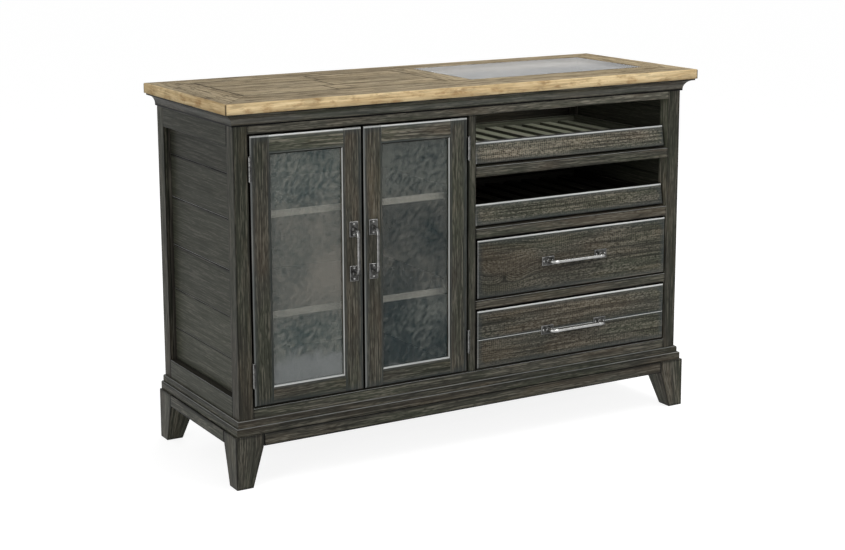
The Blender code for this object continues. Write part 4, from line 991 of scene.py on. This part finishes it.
def foot_block(where):
    """Rounded block whose width, measured from the outer corner, shrinks evenly from the band down to the toe."""
    low, high = corners_of("foot_" + where)
    block = rounded_board(low, high, 0.0022, (0.012, 0.012, 0.012), "z", SWAY)
    points = block["points"]
    down = np.clip((points[:, 2] - low[2]) / FOOT_H, 0, 1)
    share = (FOOT_TOE_W + (FOOT_TOP_W - FOOT_TOE_W) * down) / FOOT_TOP_W
    outer = (low[0] if "left" in where else high[0], low[1] if "front" in where else high[1])
    for axis in (0, 1):
        points[:, axis] = outer[axis] + (points[:, axis] - outer[axis]) * share
    return block


for where in ("front_left", "front_right", "back_left", "back_right"):
    make_piece("foot_block_" + where, foot_block(where), case_finish, stands_for="foot_" + where)


def light_sway(u, v, inset):
    """Hand planed face: two crossed sine waves a sixth of a millimetre deep, gone at the rims."""
    waves = np.sin(u * 17 + 1.3 * np.sin(v * 23)) + np.sin(v * 61 + u * 7)
    return 0.00004 * (2 + waves) * np.clip(inset / 0.008, 0, 1)


for side in ("front", "back", "left", "right"):
    low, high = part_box("band_" + side)
    band = relief_board(low, high, side, (0.0004, 0.0004, 0.0004, 0.003), (0.02, 0.008), light_sway,
                        "x" if side in ("front", "back") else "y")
    make_piece("base_board_" + side, band, case_finish, stands_for="band_" + side)

# %% [markdown]
# Each side has a panel of planks of unlike widths, with V seams, set back behind the rails.
# Inside the left one, and on the upright divider, cleats carry the shelves. The back is one board, lined inside
# with a thin sheet for each bay: pale wood behind the glass, and in the right bay wood with painted light and
# shade, paler at its left end and darker to the right.
# %% Side planks, divider, back
SIDE_SHARES = (0.0, 0.14, 0.31, 0.50, 0.705, 0.885, 1.0)
# painted highlight on each plank's lower rim and painted shade along its upper rim, seam by seam, then painted
# shade growing towards the top
SEAM_HIGHLIGHT = (0.0, 0.3, 0.4, 1.0, 1.0, 0.2)
SEAM_SHADE = (0.7, 0.9, 2.4, 1.6, 1.5, 0.0)
PLANK_RIMS, PLANK_SHADE_TONES = (0.0003, 0.0003, 0.0018, 0.0022), (0.5, 4.4)
PANEL_T, CLEAT_H, FIT = 0.012, 0.014, 0.0003
cleat_tops = [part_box(shelf)[0].z - FIT for shelf in ("shelf_upper", "shelf_lower")]


def side_planks(side):
    """Planks from the bottom rail to the top rail, each with eased long rims that meet as V seams. A highlight is
    painted on the lower rim, most at the back, and shade along the upper one, both more at some seams than at
    others. The planks get darker towards the top: painted shade under the overhang of the top."""
    low, high = corners_of("side_panel_" + side)
    x = (low[0], low[0] + PANEL_T) if side == "left" else (high[0] - PANEL_T, high[0])
    boards = []
    for below, above, wear_and_highlight, painted_shade in zip(SIDE_SHARES, SIDE_SHARES[1:], SEAM_HIGHLIGHT, SEAM_SHADE):
        z = low[2] + (high[2] - low[2]) * np.array([below, above])
        board = relief_board((x[0], low[1], z[0]), (x[1], high[1], z[1]), side, PLANK_RIMS, (0.02, 0.012),
                             light_sway, "y", polish_and_highlight=(0, 0, wear_and_highlight, 0))
        points, marks = board["points"], board["marks"]
        marks[:, 2] *= np.interp(points[:, 1], [low[1], high[1]], [0.45, 1.0])
        from_top = z[1] - points[:, 2]
        marks[from_top < PLANK_RIMS[3] + 0.0001, 0] = max(0.5, 0.5 * painted_shade)
        marks[from_top < PLANK_RIMS[3] - 0.0001, 0] = painted_shade
        marks[:, 1] = 0.6 * marks[:, 1] + PLANK_SHADE_TONES[0] - PLANK_SHADE_TONES[1] * below
        boards.append(board)
    return boards


for side in ("left", "right"):
    make_piece("side_planks_" + side, side_planks(side), side_finish, stands_for="side_panel_" + side)

panel_low, panel_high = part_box("side_panel_left")
divider_low, divider_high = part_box("centre_divider")
DIVIDER_T, POST_D = 0.018, 0.040
divider_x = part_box("face_mullion")[1].x - DIVIDER_T
shelf_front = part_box("shelf_upper")[0].y
make_piece("divider_board", rounded_board((divider_x, divider_low.y, divider_low.z), divider_high, 0.0008,
                                          (0.02, 0.02, 0.03), "z"), inner_finish, stands_for="centre_divider")
for side, x in (("left", (panel_low.x + PANEL_T, panel_high.x)), ("right", (divider_low.x, divider_x))):
    strips = [rounded_board((x[0], shelf_front, top - CLEAT_H), (x[1], BACK_Y - POST_D - FIT, top), 0.001,
                            (0.02, 0.03, 0.02), "y") for top in cleat_tops]
    make_piece("shelf_cleats_" + side, strips, inner_finish,
               stands_for="side_panel_left" if side == "left" else "centre_divider")
back_low, back_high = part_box("back_panel")
LINING_T = 0.0015
lining_y = back_low.y + LINING_T
back = relief_board((back_low.x, lining_y + FIT, back_low.z), back_high, "back", 0.0006, (0.03, 0.03),
                    light_sway, "z")
make_piece("back_board", back, case_finish, stands_for="back_panel")
LININGS = {"left": (back_low.x, divider_x, "z", lining_finish),
           "right": (divider_x, back_high.x, "x", inner_finish)}
for side, (x0, x1, along, finish) in LININGS.items():
    lining = rounded_board((x0, back_low.y, back_low.z), (x1, lining_y, back_high.z), 0.0003,
                           (0.04, 0.02, 0.04), along)
    if side == "right":
        # painted light and shade: the right lining paler by the divider and darker towards the right
        from_left = lining["points"][:, 0] - divider_x
        toned(lining, np.interp(from_left, [0.0, 0.12, 0.30, 0.60], [6.0, 3.0, -2.0, -5.0]))
    make_piece("back_lining_" + side, lining, finish, stands_for="back_panel")

# %% [markdown]
# Between the drawers and trays lie level frames: the front member shows as a rail, the others carry the boxes.
# %% Level frames
WEB_W = 0.045


def frame_members(node):
    """Front and back members from side to side, and a runner between them at each end."""
    low, high = corners_of(node)
    inner_y = (low[1] + WEB_W, high[1] - WEB_W)
    # painted highlight on the upper front arris of the front member
    front = rounded_board(low, (high[0], inner_y[0], high[2]), 0.0012, (0.02, 0.012, 0.008), "x", 0.0003,
                          UPPER_FRONT)
    rest = [rounded_board((low[0], inner_y[1], low[2]), high, 0.001, (0.04, 0.02, 0.02), "x")]
    for x in ((low[0], low[0] + WEB_W), (high[0] - WEB_W, high[0])):
        rest.append(rounded_board((x[0], inner_y[0], low[2]), (x[1], inner_y[1], high[2]), 0.001,
                                  (0.02, 0.04, 0.02), "y"))
    return front, rest


for node in ("upper_tray_frame", "lower_tray_frame", "drawer_frame"):
    front, rest = frame_members(node)
    make_piece(node + "_rail", front, case_finish, stands_for=node)
    make_piece(node + "_runners", rest, inner_finish, stands_for=node)

# %% [markdown]
# ## Doors
# A door is two stiles from top to bottom with two rails between them. Outside they have a wide quarter round,
# inside a small moulding and a rebate for the glass. One section gives all of that, carried along each member.
# Where a stile ends, no point of it may be shallower than the quarter round of its end, which rounds the corner.
# %% Door members
DOOR_R, STILE_W = 0.006, 0.0525
DOOR_T, STICK_W, STICK_DEEP, SEAT_DEEP, REBATE_W = 0.020, 0.004, 0.006, 0.008, 0.003
STILE_TONE, LEFTMOST_STILE_TONE = -1.0, -2.2
# painted highlight of the outer quarter round and of the inner moulding, for a door's left and right stile,
# where they face the light; for a rail its width and tone go before these, and the top rail's moulding,
# which faces down, is painted dark
STILE_HIGHLIGHT = (0.26, 0.0), (0.0, 0.85)
TOP_RAIL, BOTTOM_RAIL = (0.0465, 2.5, 1.0, -1.0), (0.0425, -1.6, 0.0, 1.0)


def member_section(width, rim_highlight, stick_highlight, crest):
    """(across, depth) points round a door member: quarter round, face, moulding, glass seat, rebate and back.
    With them come their wear and painted shade, and their polish and painted highlight. A moulding with a
    highlight has it painted only near its crest, with a painted shadow line on the face beside it; a value below 0
    paints the whole moulding dark, as painted shade."""
    rim = arc((DOOR_R, DOOR_R), (DOOR_R, DOOR_R), 180, 270, 6)
    face = np.stack([np.linspace(DOOR_R, width - 0.0012, 6)[1:], np.zeros(5)], -1)
    stick = arc((width, STICK_DEEP), (STICK_W, STICK_DEEP - 0.0012), -90, 0, 6)
    seat = [(width + STICK_W, SEAT_DEEP), (width - REBATE_W, SEAT_DEEP), (width - REBATE_W, DOOR_T), (0.0, DOOR_T),
            (0.0, DOOR_R + 0.0008)]
    section = np.concatenate([rim, face, [(width - 0.0002, 0.0003)], stick, seat])
    across, deep = section.T
    wear_and_shade = np.maximum(1 - across / reach_of(DOOR_R), 1 - np.abs(width - across) / reach_of(0.0012))
    wear_and_shade = shade_outside(np.clip(wear_and_shade, 0, 1), across / DOOR_R)
    polish_and_highlight = rim_highlight * highlight_profile(across / DOOR_R) * (deep < DOOR_R + 1e-6)
    on_stick = (across > width + 0.0002) & (deep < SEAT_DEEP - 1e-6)
    if stick_highlight > 0:
        # painted shadow line on the face beside a moulding with a highlight
        wear_and_shade[(across > width - 0.0005) & (across < width + 0.0012) & (deep < 0.0020)] = SHADED_FACE
        on_stick &= np.abs(across - width - 0.0027) < crest
    return section, wear_and_shade, polish_and_highlight + stick_highlight * on_stick


def door_member(width, origin, inward, run_axis, run, end_round, rim_highlight, stick_highlight):
    """Section carried along run: across goes inward from the origin, depth goes back from the face."""
    section, wear_and_shade, polish_and_highlight = member_section(width, rim_highlight, stick_highlight, 0.0010 if run_axis == 2 else 0.0017)
    near = end_round * (1 - np.cos(np.linspace(0, math.pi / 2, 6)))
    stations = stops(run[0], run[1], near, near, 0.02)
    from_end = np.minimum(stations - run[0], run[1] - stations)
    across, depth = section.T
    deep = np.maximum(depth[None], quarter_round(from_end, end_round)[:, None])
    face = (depth < 1e-6)[None] * light_sway(stations[:, None], across[None], from_end[:, None])
    rings = np.empty((len(stations), len(section), 3))
    rings[..., run_axis] = stations[:, None]
    rings[..., 2 - run_axis] = origin[0] + inward * across
    rings[..., 1] = origin[1] + deep + face
    if not end_round:
        return swept(rings, "xyz"[run_axis], wear_and_shade, polish_and_highlight)
    wear_and_shade = np.maximum(wear_and_shade[None], 1 - from_end[:, None] / reach_of(end_round))
    wear_and_shade = shade_outside(wear_and_shade, from_end[:, None] / end_round)
    # painted highlight on the upper end of a stile
    upper = highlight_profile((run[1] - stations) / end_round)[:, None] * (depth < 1e-3)[None]
    return swept(rings, "xyz"[run_axis], wear_and_shade, np.maximum(polish_and_highlight[None], upper))


def make_door(side):
    """Stiles, rails, pane, all riding on the door's own body."""
    body, node = "door_" + side, f"door_{side}_frame"
    low, high = corners_of(node)
    y = low[1]
    names = ("outer", "inner") if side == "left" else ("inner", "outer")
    for name, x, inward, polish_and_highlight in zip(names, (low[0], high[0]), (1, -1), STILE_HIGHLIGHT):
        stile = door_member(STILE_W, (x, y), inward, 2, (low[2], high[2]), DOOR_R, *polish_and_highlight)
        toned(stile, LEFTMOST_STILE_TONE if name == "outer" and side == "left" else STILE_TONE)
        make_piece(f"{body}_{name}_stile", stile, door_finish, node, body, crease=32)
    sight = (low[0] + STILE_W, high[0] - STILE_W)
    rails = (("top", high[2], -1, *TOP_RAIL), ("bottom", low[2], 1, *BOTTOM_RAIL))
    for name, z, inward, width, tone, *polish_and_highlight in rails:
        rail = toned(door_member(width, (z, y), inward, 0, sight, 0.0, *polish_and_highlight), tone)
        make_piece(f"{body}_{name}_rail", rail, door_finish, node, body, crease=32)
    pane = relief_board(*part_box(body + "_glass"), "front", 0.0004, (0.008, 0.008), glass_waves)
    finish = left_glass if side == "left" else right_glass
    make_piece(body + "_pane", pane, finish, body + "_glass", body)


for side in ("left", "right"):
    make_door(side)

# %% [markdown]
# ## Metal
# Pulls and hinges are dark nickel with faint cloudy tarnish, rubbed brighter at arrises and rivets, and with a
# highlight painted on the side of each rod and knuckle that faces the light.
# %% Metal finish
TARNISH, NICKEL = ((0.030, 0.030, 0.029), (0.085, 0.085, 0.082)), ((0.40, 0.40, 0.39), (0.52, 0.52, 0.51))


def dark_nickel():
    """Dark nickel with tarnish in clouds and fine scratches, bright at arrises, where it is polished and where a
    highlight is painted.
    """
    made, tree, shader = new_finish("dark_nickel")
    place = object_place(tree)
    cloud = noise(tree, place, (90.0, 90.0, 90.0))
    fine = noise(tree, place, (900.0, 900.0, 900.0), detail=2.0)
    near, _, polish_and_highlight = parts_of(tree, attribute(tree, "marks"))
    bright = maths(tree, "MAXIMUM", spread(tree, near, 0.70, 0.95, 0.0, 0.55), polish_and_highlight, clamp=True)
    clouds = spread(tree, cloud, 0.38, 0.62)
    tarnish, clean = (blend(tree, clouds, *map(lifted, pair)) for pair in (TARNISH, NICKEL))
    rough = maths(tree, "ADD", spread(tree, bright, 0.0, 1.0, 0.34, 0.22), times(tree, fine, 0.06))
    fill(tree, shader, {"Base Color": blend(tree, bright, tarnish, clean), "Roughness": rough,
                        "Normal": bumped(tree, fine, 0.06, 0.0002), "Metallic": 1.0})
    return made


nickel = dark_nickel()

# %% [markdown]
# A turned part needs only its profile: radius against height. A hinge knuckle, a pin's end and a rivet are turned.
# %% Turned parts and hinges
TURNED_SIDES = 32


def turned(profile, centre, axis=2, sides=TURNED_SIDES, polish_and_highlight=0.0):
    """Rings of circles about an axis through the centre: their radii and heights follow the profile."""
    t = np.linspace(0, 2 * math.pi, sides, endpoint=False)
    radius, height = np.array(profile, float).T
    rings = np.empty((len(radius), sides, 3))
    others = [a for a in range(3) if a != axis]
    rings[..., others[0]] = radius[:, None] * np.cos(t)
    rings[..., others[1]] = radius[:, None] * np.sin(t)
    rings[..., axis] = height[:, None]
    return swept(rings + np.array(centre), polish_and_highlight=polish_and_highlight)


def bright_side(sides, angle, low, high, sharpness=3):
    """Polish with a painted highlight for each point round a ring: low all round, rising as a power of a cosine to
    high at the angle, where the light falls.
    """
    t = np.linspace(0, 2 * math.pi, sides, endpoint=False)
    return low + (high - low) * np.clip(np.cos(t - math.radians(angle)), 0, 1) ** sharpness


def barrel(radius, low, high):
    """Profile of a cylinder with eased ends."""
    return [(radius - EASE, low), (radius, low + EASE), (radius, high - EASE), (radius - EASE, high)]


def dome(radius, foot, rise):
    """Profile of a domed end: a quarter ellipse from the foot up to a tiny flat at the top."""
    t = np.linspace(0, math.pi / 2 * 0.97, 7)
    return np.stack([radius * np.cos(t), foot + rise * np.sin(t)], -1)


BARREL_R, KNUCKLES, KNUCKLE_GAP, LEAF_T, LEAF_TAB = 0.0038, 5, 0.0004, 0.0015, 0.0012
PIN_END_R, LEAF_R, LEAF_LAP, EASE = 0.0024, 0.0002, 0.0005, 0.0004
PIN_POLISH, RIVET_POLISH = 0.2, 0.6


def hinge_leaf(node, own, with_pin):
    """Plate beside the axis, tabs to its own knuckles, the knuckles, and the pin with its domed ends."""
    back_y = corners_of(node)[1][1]
    bare_low, bare_high = corners_of(node.replace("post_leaf", "door_leaf"))
    axis_x, axis_y = (bare_low[0] + bare_high[0]) / 2, bare_low[1] + BARREL_R
    middle, length = (bare_low[2] + bare_high[2]) / 2, (bare_high[2] - bare_low[2]) / KNUCKLES
    bottom = middle - length * KNUCKLES / 2
    # painted highlight on the side of each knuckle that faces the light from the front left
    shine = bright_side(TURNED_SIDES, 205, 0.0, 0.55, 6)
    hand = (1 if "left" in node else -1) * (-1 if with_pin else 1)
    x = np.sort([axis_x + hand * KNUCKLE_GAP / 2, axis_x + hand * (KNUCKLE_GAP / 2 + LEAF_T)])
    clear = axis_y + BARREL_R + KNUCKLE_GAP
    parts = [rounded_board((x[0], clear, bottom), (x[1], back_y, bottom + KNUCKLES * length), LEAF_R)]
    for index in own:
        z = bottom + index * length + KNUCKLE_GAP / 2, bottom + (index + 1) * length - KNUCKLE_GAP / 2
        parts.append(turned(barrel(BARREL_R, *z), (axis_x, axis_y, 0), polish_and_highlight=shine))
        tab = (axis_y + BARREL_R - LEAF_TAB, clear + LEAF_LAP)
        parts.append(rounded_board((x[0], tab[0], z[0]), (x[1], tab[1], z[1]), LEAF_R))
    if with_pin:
        for end, sign in ((bottom, -1), (bottom + KNUCKLES * length, 1)):
            profile = dome(PIN_END_R, 0.0, PIN_END_R)
            profile[:, 1] = end + sign * profile[:, 1]
            parts.append(turned(profile, (axis_x, axis_y, 0), polish_and_highlight=PIN_POLISH))
    return parts


for side in ("left", "right"):
    for where in ("lower", "upper"):
        node = f"door_{side}_hinge_{where}_"
        make_piece(node + "fixed_half", hinge_leaf(node + "post_leaf", (0, 2, 4), True), nickel,
                   node + "post_leaf", "root")
        make_piece(node + "moving_half", hinge_leaf(node + "door_leaf", (1, 3), False), nickel,
                   node + "door_leaf", "door_" + side)

# %% [markdown]
# A pull is one round rod: out of the plate, round an elbow, through a collar and along the bar, then the same back.
# The way is worked out as a function of the distance along it, and the rod's radius is read from a small table.
# %% Pulls
STANDOFF, BEND_R, ROD_SIDES = 0.0234, 0.015, 28
PLATE_L, PLATE_W, PLATE_T = 0.0395, 0.0245, 0.0026
RIVET_R, RIVET_H, RIVET_INSET = 0.0028, 0.0014, 0.0062


def pull_way(span):
    """Half the rod: distances, then (along the bar, out from the face) and the turn of the way at each."""
    out = STANDOFF - BEND_R
    bend = BEND_R * math.pi / 2
    half = span / 2
    ends = [0.0, out, out + bend, out + bend + half - BEND_R]
    collar = ends[2] + 0.008
    s = np.unique(np.concatenate([np.linspace(0, ends[1], 15), np.linspace(ends[1], ends[2], 13),
                                  np.linspace(ends[2], collar, 33), np.linspace(collar, ends[3], 10)]))
    turn = np.clip((s - ends[1]) / BEND_R, 0, math.pi / 2)
    along = half - BEND_R * (1 - np.cos(turn)) - np.maximum(s - ends[2], 0)
    outward_by = np.minimum(s, out) + BEND_R * np.sin(turn)
    return s, along, outward_by, turn, ends


def rod_radius(s, ends):
    """Radius along the rod: a flared foot, the elbow, a round collar with a groove before it, then the bar."""
    start = ends[2]
    places = [0.0, 0.0026, 0.0040, 0.0058, start - 0.0016, start - 0.0004, start + 0.0004, start + 0.0015,
              start + 0.0026, start + 0.0034, start + 0.0044]
    radii = [0.0066, 0.0066, 0.0060, 0.0050, 0.0050, 0.0047, 0.0054, 0.0057, 0.0054, 0.0046, 0.0044]
    return np.interp(s, places, radii)


def pull_rod(span):
    """Both halves as one run of rings, each ring square to the way; local axes are across, out and along."""
    s, along, out, turn, ends = pull_way(span)
    radius = rod_radius(s, ends)
    along, out = np.concatenate([along, -along[-2::-1]]), np.concatenate([out, out[-2::-1]])
    turn = np.concatenate([turn, math.pi - turn[-2::-1]])
    radius = np.concatenate([radius, radius[-2::-1]])
    t = np.linspace(0, 2 * math.pi, ROD_SIDES, endpoint=False)
    rings = np.empty((len(along), ROD_SIDES, 3))
    rings[..., 0] = radius[:, None] * np.cos(t)
    rings[..., 1] = out[:, None] + (radius * np.sin(turn))[:, None] * np.sin(t)
    rings[..., 2] = along[:, None] + (radius * np.cos(turn))[:, None] * np.sin(t)
    return rings


def pull_parts(node):
    """Rod, two plates and four rivets, turned to the way the CAD pull runs."""
    low, high = corners_of(node)
    upright = high[2] - low[2] > high[0] - low[0]
    run = 2 if upright else 0
    span = high[run] - low[run] - PLATE_L
    middle = (low + high) / 2
    face = high[1]
    order = [0, 1, 2] if upright else [2, 1, 0]

    def placed(local):
        """Local (across, out, along) points in the room: out is towards -Y."""
        room = (local * (1, -1, 1))[..., order]
        return room + (middle[0], face - PLATE_T, middle[2])

    # painted highlight: down the front left of a door's upright rod, along the top of a drawer's rod, the rest
    # darker
    wear_and_highlight = bright_side(ROD_SIDES, *((170, 0.06, 0.85) if upright else (30, 0.65, 1.0, 2)))
    parts = [swept(placed(pull_rod(span)), polish_and_highlight=wear_and_highlight)]
    for end in (-1, 1):
        centre = end * span / 2
        plate_low = np.array([-PLATE_W / 2, -PLATE_T, centre - PLATE_L / 2])
        plate = rounded_board(plate_low, plate_low + (PLATE_W, PLATE_T, PLATE_L), 0.0011, (0.004, 0.004, 0.004))
        parts.append(as_surface(placed(plate["points"]), plate["quads"], wear_and_shade=plate["marks"][:, 0]))
        for way in (-1, 1):
            rivet = turned(dome(RIVET_R, -0.0005, RIVET_H + 0.0005), (0, 0, 0), axis=1, sides=24)
            local = rivet["points"] + (0, 0, centre + way * (PLATE_L / 2 - RIVET_INSET))
            parts.append(as_surface(placed(local), rivet["quads"], rivet["caps"], polish_and_highlight=RIVET_POLISH))
    return parts


for body in ("door_left", "door_right", "drawer_upper", "drawer_lower"):
    node = body + "_pull"
    make_piece(node + "_metal", pull_parts(node), nickel, node, body)

# %% [markdown]
# ## Drawers and trays
# A drawer front is one wide board, or two with a seam. Its face keeps the shallow bars that the saw left across it,
# so these are cut into the surface itself: a sine along the grain, in patches, a seventh of a millimetre deep.
# Under the pull a soft shadow is painted into the wood, and round a knot the grain closes into rings.
# %% Drawer fronts
FACE_R, SEAM_R = 0.006, 0.0022
# the first is the painted highlight on a front's four rims: strongest on the top one, faint on the left
FRONT_HIGHLIGHT, PULL_SHADOW_REACH, PULL_SHADOW_TONE = (0.22, 0, 0, 1.0), (0.09, 0.018), 5.0
FRONT_TONES = [0.05, 0.25, 0.50], [-1.9, 0.0, 0.6]
# from the left end, above the lower or the upper rim, and the radius
KNOTS = (0.085, 0.052, 0.034), (0.205, 0.010, 0.030)
KNOT_STRETCH, KNOT_PUSH, KNOT_CORE = 1.7, 1.1, 0.30


def saw_relief(u, v, inset):
    """Bars across the grain: a sine along it, whose strength comes and goes in slow waves."""
    bars = 0.5 + 0.5 * np.sin(2 * math.pi * u / SAW_PITCH + 1.4 * np.sin(u * 31) + 0.8 * np.sin(v * 40))
    patch = np.clip(0.5 + 0.6 * np.sin(u * 13 + 2.0 * np.sin(v * 21)) + 0.3 * np.sin(u * 37), 0, 1)
    return (0.00014 * bars * patch + light_sway(u, v, inset)) * np.clip(inset / FACE_R - 1, 0, 1)


def add_knot(board, centre, radius):
    """Grain led round a knot: across the grain every point is pushed on by its distance from the knot, a push that
    fades out further off, so that lines of equal grain close into rings. The knot's core is marked dark."""
    points, grain = board["points"], board["grain"]
    away = np.hypot((points[:, 0] - centre[0]) / KNOT_STRETCH, points[:, 2] - centre[1])
    grain[:, 2] += KNOT_PUSH * away * np.exp(-(away / radius) ** 2)
    core = np.clip(1 - away / (KNOT_CORE * radius), 0, 1)
    board["marks"][:, 2] = np.where(core > 0, -core, board["marks"][:, 2])


def add_pull_shadow(board, middle):
    """Painted shadow under a pull: darker round a place, with a tone that falls off as a bell curve."""
    away = (board["points"][:, [0, 2]] - middle) / PULL_SHADOW_REACH
    board["marks"][:, 1] -= PULL_SHADOW_TONE * np.exp(-(away ** 2).sum(axis=1))


def drawer_front(name, halves):
    """Front of one board, or of two that meet in a seam at half its height, darker towards its left end."""
    low, high = corners_of(name + "_face")
    edges = np.linspace(low[2], high[2], halves + 1)
    boards = []
    for index, (z0, z1) in enumerate(zip(edges, edges[1:])):
        rims = (FACE_R, FACE_R, FACE_R if index == 0 else SEAM_R, FACE_R if index == halves - 1 else SEAM_R)
        boards.append(relief_board((low[0], low[1], z0), (high[0], high[1], z1), "front", rims,
                                   (0.0013, 0.004), saw_relief, polish_and_highlight=FRONT_HIGHLIGHT))
    pull_low, pull_high = corners_of(name + "_pull")
    # painted shadow, centred a little below each pull
    under = (pull_low + pull_high)[[0, 2]] / 2 - (0.0, PULL_SHADOW_REACH[1])
    for board in boards:
        add_pull_shadow(board, under)
        board["marks"][:, 1] += np.interp(board["points"][:, 0] - low[0], *FRONT_TONES)
    if halves == 1:
        for z, (x, rise, radius) in zip((low[2], high[2]), KNOTS):
            add_knot(boards[0], (low[0] + x, z + rise), radius)
    make_piece(name + "_front_board", boards, front_finish, name + "_face", name)


drawer_front("drawer_upper", 1)
drawer_front("drawer_lower", 2)

# %% [markdown]
# The boxes behind the fronts are four boards round a thin bottom.
# %% Boxes
WALL_T, FLOOR_RISE, FLOOR_T = 0.012, 0.007, 0.006
BOX_FINISHES = {"tray_upper": lit_rack_finish, "tray_lower": shadowed_finish}


def make_box(body):
    """Four walls with eased upper arrises and a bottom let in between them."""
    node = body + "_box"
    low, high = corners_of(node)
    clear_low, clear_high = low + WALL_T, high - WALL_T
    walls = []
    for x in ((low[0], clear_low[0]), (clear_high[0], high[0])):
        walls.append(rounded_board((x[0], *low[1:]), (x[1], *high[1:]), 0.001, (0.02, 0.03, 0.012), "y"))
    for y in ((low[1], clear_low[1]), (clear_high[1], high[1])):
        walls.append(rounded_board((clear_low[0], y[0], low[2]), (clear_high[0], y[1], high[2]), 0.001,
                                   (0.03, 0.02, 0.012), "x"))
    base = low[2] + FLOOR_RISE
    walls.append(rounded_board((*clear_low[:2], base), (*clear_high[:2], base + FLOOR_T), 0.0005,
                               (0.03, 0.03, 0.02), "x"))
    make_piece(node + "_boards", walls, BOX_FINISHES.get(body, inner_finish), node, body)


for body in ("drawer_upper", "drawer_lower", "tray_upper", "tray_lower"):
    make_box(body)

# %% [markdown]
# A tray's front leans back towards its top. The lean is part of the relief: depth grows evenly with height.
# Inside lie slats from front to back, with a hollow for a bottle between each two.
# %% Tray fronts and slats
TRAY_LEAN, SLAT_W, SLAT_T, SLAT_PITCH, SLATS = 0.010, 0.038, 0.010, 0.0635, 9
BATTEN_W, BATTEN_T, BATTEN_INSET = 0.032, 0.009, 0.030
# the first is the painted highlight on a tray front's four rims: strongest on the top one, faint on the left
TRAY_HIGHLIGHT, TRAY_TONES = (0.3, 0, 0, 1.0), {"tray_upper": 0.8, "tray_lower": 1.8}
SLAT_TONE, SLAT_SHADE_STEP = 2.0, 0.40


def tray_front(body):
    """Leaning board with the same quarter round as the drawers."""
    low, high = corners_of(body + "_face")

    def lean(u, v, inset):
        """Depth grows evenly from the lower rim to the upper one."""
        return TRAY_LEAN * (v - low[2]) / (high[2] - low[2]) + 0.5 * saw_relief(u, v, inset)

    board = relief_board(low, high, "front", FACE_R, (0.0016, 0.006), lean, polish_and_highlight=TRAY_HIGHLIGHT)
    finish = leaning_finish if body == "tray_upper" else front_finish
    board["marks"][:, 1] += TRAY_TONES[body]
    make_piece(body + "_front_board", board, finish, body + "_face", body)


def tray_slats(body):
    """Slats on two battens, from the CAD rack's box, each with a little more painted shade than the one to its
    left.
    """
    low, high = corners_of(body + "_slats")
    middle = (low[0] + high[0]) / 2
    boards = []
    for index in range(SLATS):
        x = middle + (index - (SLATS - 1) / 2) * SLAT_PITCH
        slat = rounded_board((x - SLAT_W / 2, low[1], high[2] - SLAT_T), (x + SLAT_W / 2, high[1], high[2]),
                             0.0022, (0.008, 0.03, 0.02), "y", 0.0003)
        # painted shade: each slat a step darker than the one to its left
        slat["marks"][:, 1] += SLAT_TONE - SLAT_SHADE_STEP * index
        boards.append(slat)
    for y in (low[1] + BATTEN_INSET, high[1] - BATTEN_INSET - BATTEN_W):
        boards.append(rounded_board((low[0], y, low[2]), (high[0], y + BATTEN_W, low[2] + BATTEN_T), 0.001,
                                    (0.03, 0.02, 0.02), "x"))
    make_piece(body + "_slat_boards", boards, shadowed_finish if body == "tray_lower" else lit_slat_finish,
               body + "_slats", body)


for body in ("tray_upper", "tray_lower"):
    tray_front(body)
    tray_slats(body)
left_over = [o.name for o in frame["nodes"].values() if not o.hide_render]
print("CAD nodes still shown:", left_over)
